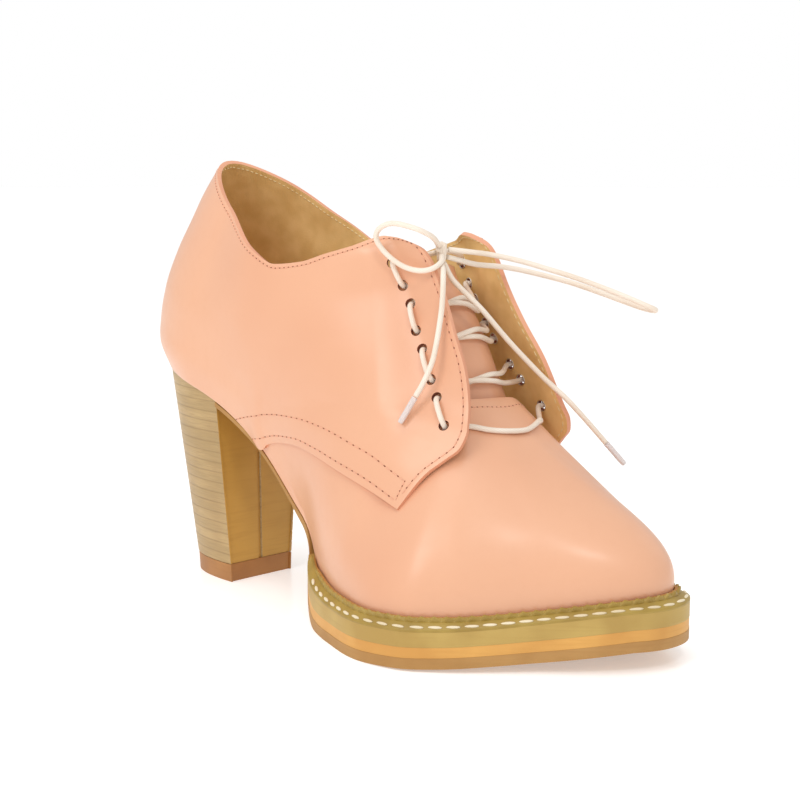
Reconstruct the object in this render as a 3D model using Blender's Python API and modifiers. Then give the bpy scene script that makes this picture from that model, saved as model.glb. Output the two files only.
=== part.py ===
"""Women's heeled lace-up shoe, right foot: open-laced leather upper on a stacked heel and a layered platform.

Modelled in metres, +Z up, +Y towards the toe, +X towards the wearer's right, which is the outer side.
The floor is Z = 0. The origin is on the floor under the ball, where the forefoot rests.
"""
import math

import bmesh
import bpy
import numpy as np
from mathutils import Vector

# Driving dimensions, in metres
LENGTH = 0.2354            # heel back to toe tip along the feather line, where the upper meets the sole
HALF_WIDTH = 0.0430        # half the forefoot's width at the ball
HEEL_SEAT_HEIGHT = 0.0825  # floor to the back of the heel seat
COLLAR_HEIGHT = 0.1630     # floor to the collar's highest point, at the back
LEATHER = 0.0018           # wall of the vamp and of the quarters
SEAM_GAP = 0.0003          # clearance between pieces that meet
WAIST_CLEARANCE = 0.0005   # the same, between the seat and the outsole where it climbs
INSOLE_THICKNESS = 0.0020
TONGUE_THICKNESS = 0.0020
TREAD_THICKNESS = 0.0037
STRIPE_THICKNESS = 0.0036
SOLE_MARGIN = 0.0055       # how far the platform stands out beyond the feather line
WELT_THICKNESS = 0.0016
WELT_LIP_HEIGHT = 0.0028   # raised inner lip that lies against the upper
WELT_LIP_WIDTH = 0.0022
LIFT_THICKNESS = 0.0069    # brown top lift under the heel
LIFT_MARGIN = 0.0003       # how far the lift stands out from the heel above it
HEEL_HALF_WIDTH = 0.0152   # at the floor
HEEL_DEPTH = 0.0320        # breast to back, at the floor
HEEL_BREAST = 0.0548       # from the heel back to the breast, at the floor
HEEL_BREAST_TOP = 0.0470   # the same, at the heel seat
HEEL_OFFSET = 0.0100       # how far the lift's middle lies towards the outer side
GROOVE_HALF_WIDTH = 0.0007
GROOVE_DEPTH = 0.0010
HOLE_RADIUS = 0.0019
LACE_RADIUS = 0.00095
LACE_CLEARANCE = 0.0006    # between a lace and the leather that it lies against
AGLET_RADIUS = 0.0012
AGLET_LENGTH = 0.0100
KNOT_RADII = (0.0023, 0.0023, 0.0038)
KNOT_PLACE = (0.0070, 0.1488, 0.1319)
REST_POINT = (0.0120, 0.1420)  # under the ball, where the forefoot rests on the floor

# Seat of the upper: floor to the support under it, as shares of HEEL_SEAT_HEIGHT behind the ball
SEAT = {
    "station": (0.0, 0.1, 0.2, 0.3, 0.4, 0.45, 0.5, 0.55, 0.62, 0.8, 1.0),
    "height": (1.000, 0.952, 0.867, 0.703, 0.400, 0.273, 0.194, 0.164, 0.155, 0.165, 0.245),
}

# Feather outline: middle line and half widths as shares of HALF_WIDTH, by station along LENGTH
OUTLINE = {
    "station": (0.0, 0.2, 0.3, 0.4, 0.5, 0.6, 0.7, 0.75, 0.8, 0.85, 0.9, 0.95, 1.0),
    "middle": (0.058, 0.093, 0.086, 0.081, 0.147, 0.221, 0.267, 0.244, 0.163, 0.070, -0.028, -0.116, -0.186),
    "outer": (0.535, 0.535, 0.512, 0.477, 0.698, 0.907, 1.023, 1.012, 0.919, 0.756, 0.593, 0.512, 0.442),
    "inner": (0.535, 0.535, 0.512, 0.488, 0.605, 0.814, 0.965, 0.965, 0.884, 0.767, 0.628, 0.512, 0.442),
}
HEEL_ROUNDING = 0.15       # share of LENGTH over which the outline closes at the back
TOE_ROUNDING = 0.12        # and at the toe

# Underside of the sole, floor to tread, as shares of HEEL_SEAT_HEIGHT
UNDERSIDE = {
    "station": (0.0, 0.2, 0.3, 0.4, 0.43, 0.46, 0.5, 0.54, 0.66, 0.8, 0.9, 1.0),
    "height": (0.945, 0.812, 0.651, 0.345, 0.255, 0.165, 0.040, 0.0, 0.0, 0.013, 0.042, 0.086),
}

# Side view of the quarters: y as shares of LENGTH, z as shares of COLLAR_HEIGHT.
# "along" runs from the back seam to the front edge, "up" from the lower edge to the collar.
QUARTER_LOWER_EDGE = {
    "along": (0.4, 0.5, 0.6, 0.7, 0.8, 0.9, 1.0),
    "y": (0.306, 0.374, 0.429, 0.489, 0.552, 0.624, 0.690),
    "z": (0.347, 0.371, 0.376, 0.365, 0.345, 0.321, 0.291),
}
TOPLINE = {
    "along": (0.0, 0.1, 0.2, 0.3, 0.4, 0.5, 0.6, 0.7, 0.8, 0.9, 1.0),
    "y": (0.132, 0.183, 0.234, 0.280, 0.327, 0.374, 0.421, 0.467, 0.514, 0.556, 0.603),
    "z": (1.000, 0.951, 0.896, 0.850, 0.804, 0.773, 0.779, 0.799, 0.819, 0.840, 0.834),
}
BACK_SEAM = {
    "up": (0.0, 0.15, 0.27, 0.42, 0.59, 0.74, 0.86, 1.0),
    "y": (0.0, -0.021, -0.017, 0.0, 0.030, 0.064, 0.093, 0.132),
    "z": (0.506, 0.580, 0.638, 0.713, 0.798, 0.871, 0.933, 1.000),
}
FACING_EDGE = {
    "up": (0.0, 0.12, 0.2, 0.25, 0.29, 0.33, 0.5, 0.65, 0.8, 0.9, 0.95, 1.0),
    "y": (0.690, 0.714, 0.735, 0.750, 0.753, 0.748, 0.724, 0.692, 0.661, 0.640, 0.627, 0.603),
    "z": (0.291, 0.362, 0.396, 0.419, 0.445, 0.469, 0.571, 0.653, 0.739, 0.794, 0.818, 0.834),
}
BACK_ROUNDING = 0.2        # share of "along" over which the quarters round the heel
FEATHER_SHARE = 0.4        # share of "along" whose lower edge lies on the feather line
FEATHER_REACH = 0.306      # station where that stretch ends

# Width of the quarters: x as shares of HALF_WIDTH, a row for each "along", a column for each "up"
QUARTER_ALONG = (0.0, 0.2, 0.4, 0.6, 0.8, 0.9, 1.0)
QUARTER_UP = (0.0, 0.2, 0.4, 0.6, 0.8, 1.0)
OUTER_QUARTER_X = (
    (0.558, 0.628, 0.628, 0.581, 0.512, 0.442),
    (0.616, 0.686, 0.686, 0.651, 0.605, 0.558),
    (0.598, 0.686, 0.744, 0.767, 0.756, 0.733),
    (0.733, 0.767, 0.779, 0.756, 0.709, 0.651),
    (0.872, 0.814, 0.698, 0.581, 0.500, 0.512),
    (0.930, 0.767, 0.512, 0.395, 0.337, 0.360),
    (0.953, 0.686, 0.453, 0.372, 0.321, 0.326),
)
INNER_QUARTER_X = (
    (-0.442, -0.512, -0.512, -0.465, -0.395, -0.326),
    (-0.442, -0.523, -0.570, -0.581, -0.581, -0.558),
    (-0.425, -0.570, -0.674, -0.733, -0.744, -0.749),
    (-0.581, -0.698, -0.744, -0.756, -0.744, -0.721),
    (-0.628, -0.721, -0.721, -0.686, -0.663, -0.698),
    (-0.744, -0.756, -0.686, -0.581, -0.535, -0.558),
    (-0.767, -0.733, -0.605, -0.512, -0.453, -0.465),
)

# Ribs of the vamp: each runs from the feather line over a swelling and a shoulder to the vamp's top edge.
# x and swell are shares of HALF_WIDTH, y of LENGTH, z and rise of COLLAR_HEIGHT.
RIB_COLUMNS = ("station", "swell", "rise", "shoulder_x", "shoulder_y", "shoulder_z", "top_x", "top_y", "top_z")
OUTER_RIBS = (
    (0.300, 0.010, 0.008, 0.660, 0.304, 0.395, 0.302, 0.680, 0.509),
    (0.400, 0.020, 0.060, 0.700, 0.405, 0.350, 0.302, 0.680, 0.509),
    (0.500, 0.081, 0.110, 0.880, 0.510, 0.310, 0.302, 0.680, 0.509),
    (0.600, 0.060, 0.100, 0.980, 0.606, 0.290, 0.302, 0.680, 0.509),
    (0.700, 0.023, 0.104, 0.837, 0.705, 0.344, 0.302, 0.680, 0.509),
    (0.800, 0.035, 0.123, 0.791, 0.765, 0.356, 0.209, 0.695, 0.503),
    (0.900, 0.047, 0.141, 0.395, 0.820, 0.344, 0.081, 0.701, 0.502),
    (0.960, 0.070, 0.141, 0.093, 0.841, 0.319, -0.023, 0.703, 0.501),
    (1.000, 0.084, 0.138, -0.140, 0.850, 0.307, -0.093, 0.703, 0.500),
)
INNER_RIBS = (
    (0.300, 0.010, 0.008, -0.490, 0.304, 0.395, -0.512, 0.684, 0.491),
    (0.400, 0.050, 0.060, -0.560, 0.405, 0.350, -0.512, 0.684, 0.491),
    (0.500, 0.090, 0.110, -0.660, 0.510, 0.310, -0.512, 0.684, 0.491),
    (0.600, 0.060, 0.100, -0.740, 0.606, 0.290, -0.512, 0.684, 0.491),
    (0.700, 0.035, 0.104, -0.767, 0.697, 0.356, -0.512, 0.684, 0.491),
    (0.800, 0.023, 0.135, -0.721, 0.756, 0.356, -0.395, 0.705, 0.491),
    (0.900, 0.047, 0.141, -0.512, 0.816, 0.344, -0.256, 0.705, 0.497),
    (0.960, 0.070, 0.141, -0.302, 0.845, 0.313, -0.163, 0.704, 0.499),
    (1.000, 0.084, 0.138, -0.140, 0.850, 0.307, -0.093, 0.703, 0.500),
)
BASE_RISE = 0.0030         # the upper's wall stands straight this far above the feather line
VAMP_START = 0.300         # station where the vamp begins, under the quarter's lower edge
LAP_END = 0.60             # station up to which the vamp's top edge is held in the quarter's lap
THROAT_START = 0.70        # station from which the top edge is the free edge of the throat
LAYER_START = 0.462        # station where the stripe and the platform layer begin

# Lace holes, top to bottom, as places on the quarters
HOLES = {
    "up": (0.875, 0.780, 0.710, 0.605, 0.535, 0.430, 0.375, 0.295),
    "outer_along": (0.863, 0.873, 0.883, 0.885, 0.892, 0.910, 0.925, 0.950),
    "inner_along": (0.800, 0.812, 0.822, 0.832, 0.840, 0.865, 0.885, 0.925),
}

# Tongue's front face: middle line with y as shares of LENGTH and z of COLLAR_HEIGHT, and its half width
# and how far its edges fall back, as shares of HALF_WIDTH. "up" runs from under the vamp to the top edge.
TONGUE = {
    "up": (0.0, 0.18, 0.34, 0.5, 0.68, 0.86, 0.96, 1.0),
    "y": (0.730, 0.696, 0.682, 0.666, 0.644, 0.616, 0.595, 0.587),
    "z": (0.423, 0.488, 0.540, 0.595, 0.656, 0.718, 0.759, 0.779),
    "half_width": (0.360, 0.430, 0.460, 0.470, 0.470, 0.440, 0.380, 0.250),
    "crown": (0.140, 0.220, 0.290, 0.335, 0.345, 0.310, 0.220, 0.080),
}
TONGUE_MIDDLE = -0.093     # x of the middle line, as a share of HALF_WIDTH

# Lacing over the tongue: pairs of holes whose strands cross, and the place on the tongue where they do
CROSSINGS = ((1, 2, 0.795), (3, 4, 0.600), (5, 6, 0.330))
# Bar over the vamp below its top edge, as places on the vamp: side, station and share
BAR_ROUTE = (
    (1, 0.82, 0.880), (1, 0.88, 0.865), (1, 0.94, 0.865), (1, 1.00, 0.875), (-1, 0.90, 0.880), (-1, 0.80, 0.880),
)
TOP_STRAND = (
    (0.0105, 0.1390, 0.1295), (0.0060, 0.1451, 0.1315), (-0.0050, 0.1420, 0.1315), (-0.0180, 0.1355, 0.1290),
)

# Free stretches of the lace, from the knot outwards
LOOP_OUTER = (
    (0.0090, 0.1497, 0.1341), (0.0136, 0.1512, 0.1372), (0.0185, 0.1499, 0.1397), (0.0210, 0.1459, 0.1412),
    (0.0225, 0.1410, 0.1420), (0.0230, 0.1371, 0.1413), (0.0230, 0.1337, 0.1393), (0.0225, 0.1325, 0.1363),
    (0.0215, 0.1348, 0.1326), (0.0200, 0.1385, 0.1292), (0.0190, 0.1437, 0.1268), (0.0183, 0.1497, 0.1260),
    (0.0162, 0.1534, 0.1268), (0.0122, 0.1536, 0.1288), (0.0087, 0.1507, 0.1308),
)
LOOP_INNER = (
    (0.0050, 0.1504, 0.1328), (-0.0010, 0.1551, 0.1319), (-0.0080, 0.1588, 0.1308), (-0.0155, 0.1656, 0.1286),
    (-0.0215, 0.1724, 0.1260), (-0.0270, 0.1796, 0.1233), (-0.0320, 0.1862, 0.1204), (-0.0365, 0.1955, 0.1167),
    (-0.0395, 0.2019, 0.1139), (-0.0425, 0.2040, 0.1123), (-0.0455, 0.2010, 0.1116), (-0.0458, 0.1956, 0.1123),
    (-0.0430, 0.1885, 0.1147), (-0.0390, 0.1827, 0.1172), (-0.0340, 0.1741, 0.1204), (-0.0285, 0.1667, 0.1228),
    (-0.0215, 0.1605, 0.1250), (-0.0150, 0.1566, 0.1263), (-0.0065, 0.1525, 0.1273), (0.0049, 0.1497, 0.1302),
)
END_OUTER = (
    (0.0083, 0.1499, 0.1282), (0.0125, 0.1549, 0.1265), (0.0157, 0.1580, 0.1235), (0.0172, 0.1592, 0.1180),
    (0.0180, 0.1594, 0.1127), (0.0193, 0.1596, 0.1072), (0.0214, 0.1604, 0.1021), (0.0237, 0.1609, 0.0967),
    (0.0260, 0.1605, 0.0918), (0.0277, 0.1594, 0.0878), (0.0292, 0.1581, 0.0844),
)
END_INNER = (
    (0.0057, 0.1490, 0.1281), (0.0063, 0.1532, 0.1231), (0.0045, 0.1563, 0.1193), (-0.0015, 0.1606, 0.1120),
    (-0.0115, 0.1646, 0.1004), (-0.0210, 0.1714, 0.0883), (-0.0260, 0.1783, 0.0806), (-0.0310, 0.1834, 0.0730),
    (-0.0370, 0.1883, 0.0642),
)


def curve_value(stations, values, at):
    """Monotone cubic through a table's column."""
    count = len(stations)
    slopes = [(values[k + 1] - values[k]) / (stations[k + 1] - stations[k]) for k in range(count - 1)]
    index = min(max(int(np.searchsorted(stations, at)) - 1, 0), count - 2)

    def tangent(k):
        if k == 0:
            return slopes[0]
        if k == count - 1:
            return slopes[-1]
        before, after = slopes[k - 1], slopes[k]
        if before * after <= 0.0:
            return 0.0
        return 2.0 * before * after / (before + after)

    width = stations[index + 1] - stations[index]
    t = (at - stations[index]) / width
    start, end = values[index], values[index + 1]
    rise_in, rise_out = tangent(index) * width, tangent(index + 1) * width
    return (
        start * (2 * t**3 - 3 * t**2 + 1)
        + rise_in * (t**3 - 2 * t**2 + t)
        + end * (3 * t**2 - 2 * t**3)
        + rise_out * (t**3 - t**2)
    )


def table_value(table, column, key, at):
    return curve_value(table[key], table[column], at)


def seat_height(y):
    station = min(max(y / LENGTH, 0.0), 1.0)
    return HEEL_SEAT_HEIGHT * table_value(SEAT, "height", "station", station)


def underside_height(y):
    station = min(max(y / LENGTH, 0.0), 1.0)
    return HEEL_SEAT_HEIGHT * table_value(UNDERSIDE, "height", "station", station)


def closing(station):
    """1 along the outline, falling to 0 at both ends."""
    if station < HEEL_ROUNDING:
        return math.sqrt(max(0.0, 1.0 - (1.0 - station / HEEL_ROUNDING) ** 2))
    if station > 1.0 - TOE_ROUNDING:
        share = (station - 1.0 + TOE_ROUNDING) / TOE_ROUNDING
        return max(0.0, 1.0 - share**2.2) ** (1.0 / 2.2)
    return 1.0


def feather_point(side, station):
    """Point of the feather outline; side is 1 for the outer side and -1 for the inner."""
    column = "outer" if side > 0 else "inner"
    middle = table_value(OUTLINE, "middle", "station", station)
    half = table_value(OUTLINE, column, "station", station) * closing(station)
    return Vector(((middle + side * half) * HALF_WIDTH, station * LENGTH, 0.0))


def outward(side, station):
    """Unit normal of the outline in plan."""
    step = 0.004
    low, high = max(station - step, 0.0), min(station + step, 1.0)
    if station <= 0.0:
        return Vector((0.0, -1.0, 0.0))
    if station >= 1.0:
        return Vector((0.0, 1.0, 0.0))
    run = feather_point(side, high) - feather_point(side, low)
    return Vector((run.y * side, -run.x * side, 0.0)).normalized()


def outline_point(side, station, margin):
    return feather_point(side, station) + outward(side, station) * margin


def stations_between(start, end, count):
    """Stations that crowd together where the outline closes at the heel and at the toe."""
    low = math.acos(1.0 - 2.0 * start)
    high = math.acos(1.0 - 2.0 * end)
    return [(1.0 - math.cos(low + (high - low) * k / (count - 1))) / 2.0 for k in range(count)]


def build_mesh(name, points, faces):
    mesh = bpy.data.meshes.new(name)
    form = bmesh.new()
    verts = [form.verts.new(point) for point in points]
    for face in faces:
        form.faces.new([verts[k] for k in face])
    bmesh.ops.remove_doubles(form, verts=form.verts, dist=1e-6)
    bmesh.ops.dissolve_degenerate(form, edges=form.edges, dist=1e-6)
    bmesh.ops.recalc_face_normals(form, faces=form.faces)
    form.to_mesh(mesh)
    form.free()
    return bpy.data.objects.new(name, mesh)


def grid_mesh(name, rows):
    """Open surface through rows of points."""
    width = len(rows[0])
    points = [point for row in rows for point in row]
    faces = []
    for i in range(len(rows) - 1):
        for j in range(width - 1):
            corner = i * width + j
            faces.append((corner, corner + 1, corner + width + 1, corner + width))
    return build_mesh(name, points, faces)


def block_mesh(name, levels):
    """Closed block from levels, lowest first; a level is an outer and an inner side of equal length."""
    count = len(levels[0][0])
    ring = 2 * count
    points = []
    for outer, inner in levels:
        points.extend(outer)
        points.extend(reversed(inner))
    faces = []
    for level in range(len(levels) - 1):
        base = level * ring
        for k in range(ring):
            following = (k + 1) % ring
            faces.append((base + k, base + following, base + ring + following, base + ring + k))
    for base in (0, (len(levels) - 1) * ring):
        for k in range(count - 1):
            faces.append((base + k, base + k + 1, base + ring - 2 - k, base + ring - 1 - k))
    return build_mesh(name, points, faces)


def sole_block(name, stations, margin, bottom, top):
    """Layer of the sole through the stations given, between two heights that vary with y."""
    sides = {}
    for side in (1, -1):
        sides[side] = [outline_point(side, s, margin(s)) for s in stations]
    levels = []
    for height in (bottom, top):
        levels.append([[Vector((p.x, p.y, height(p.y))) for p in sides[side]] for side in (1, -1)])
    return block_mesh(name, levels)


def material(name, color, roughness, metallic=0.0):
    made = bpy.data.materials.new(name)
    made.use_nodes = True
    shader = made.node_tree.nodes["Principled BSDF"]
    shader.inputs["Base Color"].default_value = (*color, 1.0)
    shader.inputs["Roughness"].default_value = roughness
    shader.inputs["Metallic"].default_value = metallic
    return made


def finish(obj, collection, frame, made, smooth=40.0):
    obj.data.materials.clear()
    obj.data.materials.append(made)
    collection.objects.link(obj)
    obj.parent = frame
    if smooth:
        obj.data.shade_smooth()
        obj.data.set_sharp_from_angle(angle=math.radians(smooth))
    return obj


def edge_ease(station):
    """0 along the waist, rising to 1 where the platform stands out under the forefoot."""
    share = min(max((station - 0.40) / 0.14, 0.0), 1.0)
    return share * share * (3.0 - 2.0 * share)


def platform_margin(station):
    return SOLE_MARGIN * edge_ease(station)


def stripe_margin(station):
    return platform_margin(station) - 0.0003


def tread_top(y):
    """The brown layer is thicker, measured upright, where the waist climbs."""
    station = y / LENGTH
    climb = 0.0009 * (1.0 - min(max((station - 0.46) / 0.10, 0.0), 1.0))
    return min(underside_height(y) + TREAD_THICKNESS + climb, seat_height(y) - WAIST_CLEARANCE)


def stripe_top(y):
    room = seat_height(y) - tread_top(y) - 3.0 * SEAM_GAP
    return tread_top(y) + SEAM_GAP + min(STRIPE_THICKNESS, 0.42 * room)


def layer_stations():
    """Stations that all the layers under the forefoot share, so that they lie snugly on each other."""
    return stations_between(LAYER_START, 1.0, 34)


def make_outsole():
    waist = stations_between(HEEL_BREAST_TOP / LENGTH + 0.003, LAYER_START, 20)
    return sole_block("outsole", waist[:-1] + layer_stations(), platform_margin, underside_height, tread_top)


def make_stripe():
    def bottom(y):
        return tread_top(y) + SEAM_GAP
    return sole_block("platform_stripe", layer_stations(), stripe_margin, bottom, stripe_top)


def make_platform():
    def bottom(y):
        return stripe_top(y) + SEAM_GAP
    return sole_block("platform", layer_stations(), platform_margin, bottom, seat_height)


def make_welt():
    """Strip round the forefoot with a raised lip against the upper."""
    stations = stations_between(0.475, 1.0, 30)
    path = [(1, s) for s in stations] + [(-1, s) for s in reversed(stations[:-1])]
    rows = []
    for side, s in path:
        reach = max(platform_margin(s) - 0.0004, 0.0028)
        lip = 2.0 * SEAM_GAP + WELT_LIP_WIDTH * min(1.0, reach / SOLE_MARGIN)
        row = []
        for margin, rise in (
            (SEAM_GAP, 0.0),
            (reach, 0.0),
            (reach, WELT_THICKNESS),
            (lip, WELT_THICKNESS),
            (lip, WELT_LIP_HEIGHT),
            (SEAM_GAP, WELT_LIP_HEIGHT),
        ):
            point = outline_point(side, s, margin)
            point.z = seat_height(point.y) + SEAM_GAP + rise
            row.append(point)
        rows.append(row)
    width = len(rows[0])
    points = [point for row in rows for point in row]
    faces = []
    for i in range(len(rows) - 1):
        for j in range(width):
            near, far = i * width + j, i * width + (j + 1) % width
            faces.append((near, far, far + width, near + width))
    for base in (0, (len(rows) - 1) * width):
        faces.append((base, base + 1, base + 2, base + 3))
        faces.append((base, base + 3, base + 4, base + 5))
    return build_mesh("welt", points, faces)


def heel_level(share, margin, height=None, groove=0.0):
    """Outline of the heel at a share of its height, from the floor up to the seat."""
    breast = HEEL_BREAST + (HEEL_BREAST_TOP - HEEL_BREAST) * share
    middle_floor = Vector((HEEL_OFFSET, HEEL_BREAST - HEEL_DEPTH, 0.0))
    seat_station = HEEL_BREAST_TOP / LENGTH
    sides = []
    for side in (1, -1):
        line = []
        for k in range(15):
            turn = math.pi / 2.0 * k / 14
            floor = Vector((
                middle_floor.x + side * HEEL_HALF_WIDTH * min(1.0, math.sin(turn) ** 0.8),
                middle_floor.y + HEEL_DEPTH * (1.0 - math.cos(turn)),
                0.0,
            ))
            seat = feather_point(side, max(1e-9, seat_station * (1.0 - math.cos(turn))))
            point = floor.lerp(seat, share)
            away = Vector((side * math.sin(turn), -math.cos(turn), 0.0)) if k < 14 else Vector((side, 0.0, 0.0))
            line.append(point + away * margin)
        corner = line[-1]
        middle = HEEL_OFFSET + (feather_point(1, seat_station).x + feather_point(-1, seat_station).x
                                - 2.0 * HEEL_OFFSET) / 2.0 * share
        if groove:
            line.append(Vector((middle + side * GROOVE_HALF_WIDTH, corner.y, 0.0)))
            line.append(Vector((middle + side * GROOVE_HALF_WIDTH * 0.6, corner.y - groove, 0.0)))
        for point in line:
            point.y = min(point.y, breast)
            point.z = seat_height(point.y) - SEAM_GAP if height is None else height
        sides.append(line)
    return sides


def make_heel():
    levels = []
    low = LIFT_THICKNESS + SEAM_GAP
    for share in (0.0, 0.25, 0.5, 0.75, 1.0):
        height = low + (HEEL_SEAT_HEIGHT * 0.84 - low) * share
        shape = low / HEEL_SEAT_HEIGHT + (1.0 - low / HEEL_SEAT_HEIGHT) * share
        if share < 1.0:
            levels.append(heel_level(shape, 0.0, height, GROOVE_DEPTH))
        else:
            levels.append(heel_level(1.0, 0.0, None, GROOVE_DEPTH))
    return block_mesh("heel", levels)


def make_lift():
    levels = [heel_level(0.0, LIFT_MARGIN, 0.0), heel_level(0.05, LIFT_MARGIN, LIFT_THICKNESS)]
    return block_mesh("top_lift", levels)


def insole_inset(station):
    """The quarter's wall straddles the feather line; the vamp's wall lies inside it."""
    share = min(max((station - 0.20) / 0.06, 0.0), 1.0)
    return LEATHER * (0.6 + 0.6 * share) + 2.0 * SEAM_GAP


def make_insole():
    """Board inside the upper, from the back of the heel to the toe."""
    stations = stations_between(0.004, 0.996, 36)
    sides = [[outline_point(side, s, -insole_inset(s)) for s in stations] for side in (1, -1)]
    levels = []
    for rise in (SEAM_GAP, SEAM_GAP + INSOLE_THICKNESS):
        levels.append([[Vector((p.x, p.y, seat_height(p.y) + rise)) for p in line] for line in sides])
    return block_mesh("insole", levels)


def lower_edge(along):
    if along <= FEATHER_SHARE:
        y = FEATHER_REACH * LENGTH * along / FEATHER_SHARE
        return np.array((y, seat_height(y) + 1.5 * SEAM_GAP))
    y = table_value(QUARTER_LOWER_EDGE, "y", "along", along) * LENGTH
    z = table_value(QUARTER_LOWER_EDGE, "z", "along", along) * COLLAR_HEIGHT
    feather = np.array((y, seat_height(y) + 1.5 * SEAM_GAP))
    share = min((along - FEATHER_SHARE) / 0.04, 1.0)
    return feather * (1.0 - share) + np.array((y, z)) * share


def side_curve(table, key, at):
    return np.array((
        table_value(table, "y", key, at) * LENGTH,
        table_value(table, "z", key, at) * COLLAR_HEIGHT,
    ))


def back_seam(up):
    point = side_curve(BACK_SEAM, "up", up)
    lowest = HEEL_SEAT_HEIGHT + 1.5 * SEAM_GAP
    point[1] = max(point[1], lowest) if up > 0 else lowest
    return point


def quarter_side_view(along, up):
    """Place on the quarter seen from the side, between its four edges."""
    low, high = lower_edge(along), side_curve(TOPLINE, "along", along)
    back, front = back_seam(up), side_curve(FACING_EDGE, "up", up)
    corners = (
        (1 - along) * (1 - up) * lower_edge(0.0) + along * (1 - up) * lower_edge(1.0)
        + (1 - along) * up * side_curve(TOPLINE, "along", 0.0) + along * up * side_curve(TOPLINE, "along", 1.0)
    )
    return (1 - up) * low + up * high + (1 - along) * back + along * front - corners


def quarter_point(side, along, up):
    """Place on the quarter's middle surface."""
    rows = OUTER_QUARTER_X if side > 0 else INNER_QUARTER_X
    column = [curve_value(QUARTER_UP, row, up) for row in rows]
    middle = OUTLINE["middle"][0]
    reach = curve_value(QUARTER_ALONG, column, along) - middle
    if along < BACK_ROUNDING:
        reach *= math.sqrt(max(0.0, 1.0 - (1.0 - along / BACK_ROUNDING) ** 2))
    y, z = quarter_side_view(along, up)
    return Vector(((middle + reach) * HALF_WIDTH, y, z))


def quarter_rows():
    ups = [k / 11 for k in range(12)]
    alongs = [(k / 24) ** 1.35 for k in range(25)]
    path = [(1, a) for a in reversed(alongs)] + [(-1, a) for a in alongs[1:]]
    return [[quarter_point(side, along, up) for side, along in path] for up in ups]


def rib_values(side, station):
    rows = OUTER_RIBS if side > 0 else INNER_RIBS
    stations = [row[0] for row in rows]
    return {
        name: curve_value(stations, [row[k] for row in rows], station)
        for k, name in enumerate(RIB_COLUMNS) if k
    }


def lap_point(side, station):
    """Where the vamp's top edge ends, between the two faces of the quarter just above its lower edge."""
    edge = QUARTER_LOWER_EDGE
    along = curve_value(edge["y"], edge["along"], min(max(station + 0.004, edge["y"][0]), edge["y"][-1]))
    up = 0.06 + 0.08 * min(max((0.45 - station) / 0.15, 0.0), 1.0)
    return quarter_point(side, along, up)


def vamp_point(side, station, share):
    """Place on the vamp's outer surface; share runs from the wall's straight foot to the top edge."""
    rib = rib_values(side, station)
    foot = feather_point(side, station)
    foot.z = seat_height(foot.y) + SEAM_GAP + BASE_RISE * (0.2 + 0.8 * edge_ease(station))
    swelling = foot + outward(side, station) * rib["swell"] * HALF_WIDTH
    swelling.z += rib["rise"] * COLLAR_HEIGHT
    shoulder = Vector((
        rib["shoulder_x"] * HALF_WIDTH, rib["shoulder_y"] * LENGTH, rib["shoulder_z"] * COLLAR_HEIGHT))
    throat = Vector((rib["top_x"] * HALF_WIDTH, rib["top_y"] * LENGTH, rib["top_z"] * COLLAR_HEIGHT))
    freed = min(max((station - LAP_END) / (THROAT_START - LAP_END), 0.0), 1.0)
    top = lap_point(side, min(station, THROAT_START)).lerp(throat, freed * freed * (3.0 - 2.0 * freed))
    rest = 1.0 - share
    return (
        foot * rest**3 + swelling * (3 * rest**2 * share) + shoulder * (3 * rest * share**2) + top * share**3
    )


def vamp_rows():
    stations = stations_between(VAMP_START, 1.0, 21)
    path = [(1, s) for s in stations] + [(-1, s) for s in reversed(stations[:-1])]
    rows = []
    bottom = []
    for side, s in path:
        point = feather_point(side, s)
        point.z = seat_height(point.y) + SEAM_GAP
        bottom.append(point)
    rows.append(bottom)
    for k in range(12):
        rows.append([vamp_point(side, s, k / 11) for side, s in path])
    return rows


def wall_modifier(obj, thickness, offset):
    wall = obj.modifiers.new("wall", "SOLIDIFY")
    wall.thickness = thickness
    wall.offset = offset
    wall.use_even_offset = False


def evaluated_copy(obj, name):
    """Mesh object with the modifiers of another applied."""
    bpy.context.view_layer.update()
    graph = bpy.context.evaluated_depsgraph_get()
    mesh = bpy.data.meshes.new_from_object(obj.evaluated_get(graph))
    mesh.name = name
    return bpy.data.objects.new(name, mesh)


def boolean(obj, other, operation):
    cut = obj.modifiers.new(other.name, "BOOLEAN")
    cut.operation = operation
    cut.solver = "EXACT"
    cut.object = other


def hole_place(side, index):
    along, up = HOLES["outer_along" if side > 0 else "inner_along"][index], HOLES["up"][index]
    point = quarter_point(side, along, up)
    step = 0.01
    across = quarter_point(side, along + step, up) - quarter_point(side, along - step, up)
    upward = quarter_point(side, along, up + step) - quarter_point(side, along, up - step)
    normal = across.cross(upward).normalized() * side
    if normal.x * side < 0.0:
        normal.negate()
    return point, normal


def hole_cutter(side, index):
    """Short peg through the facing."""
    point, normal = hole_place(side, index)
    mesh = bpy.data.meshes.new("lace_hole_cut")
    form = bmesh.new()
    bmesh.ops.create_cone(
        form, cap_ends=True, segments=12, radius1=HOLE_RADIUS, radius2=HOLE_RADIUS, depth=4.0 * LEATHER)
    form.to_mesh(mesh)
    form.free()
    peg = bpy.data.objects.new("lace_hole_cut", mesh)
    peg.rotation_mode = "QUATERNION"
    peg.rotation_quaternion = Vector((0.0, 0.0, 1.0)).rotation_difference(normal)
    peg.location = point
    return peg


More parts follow.
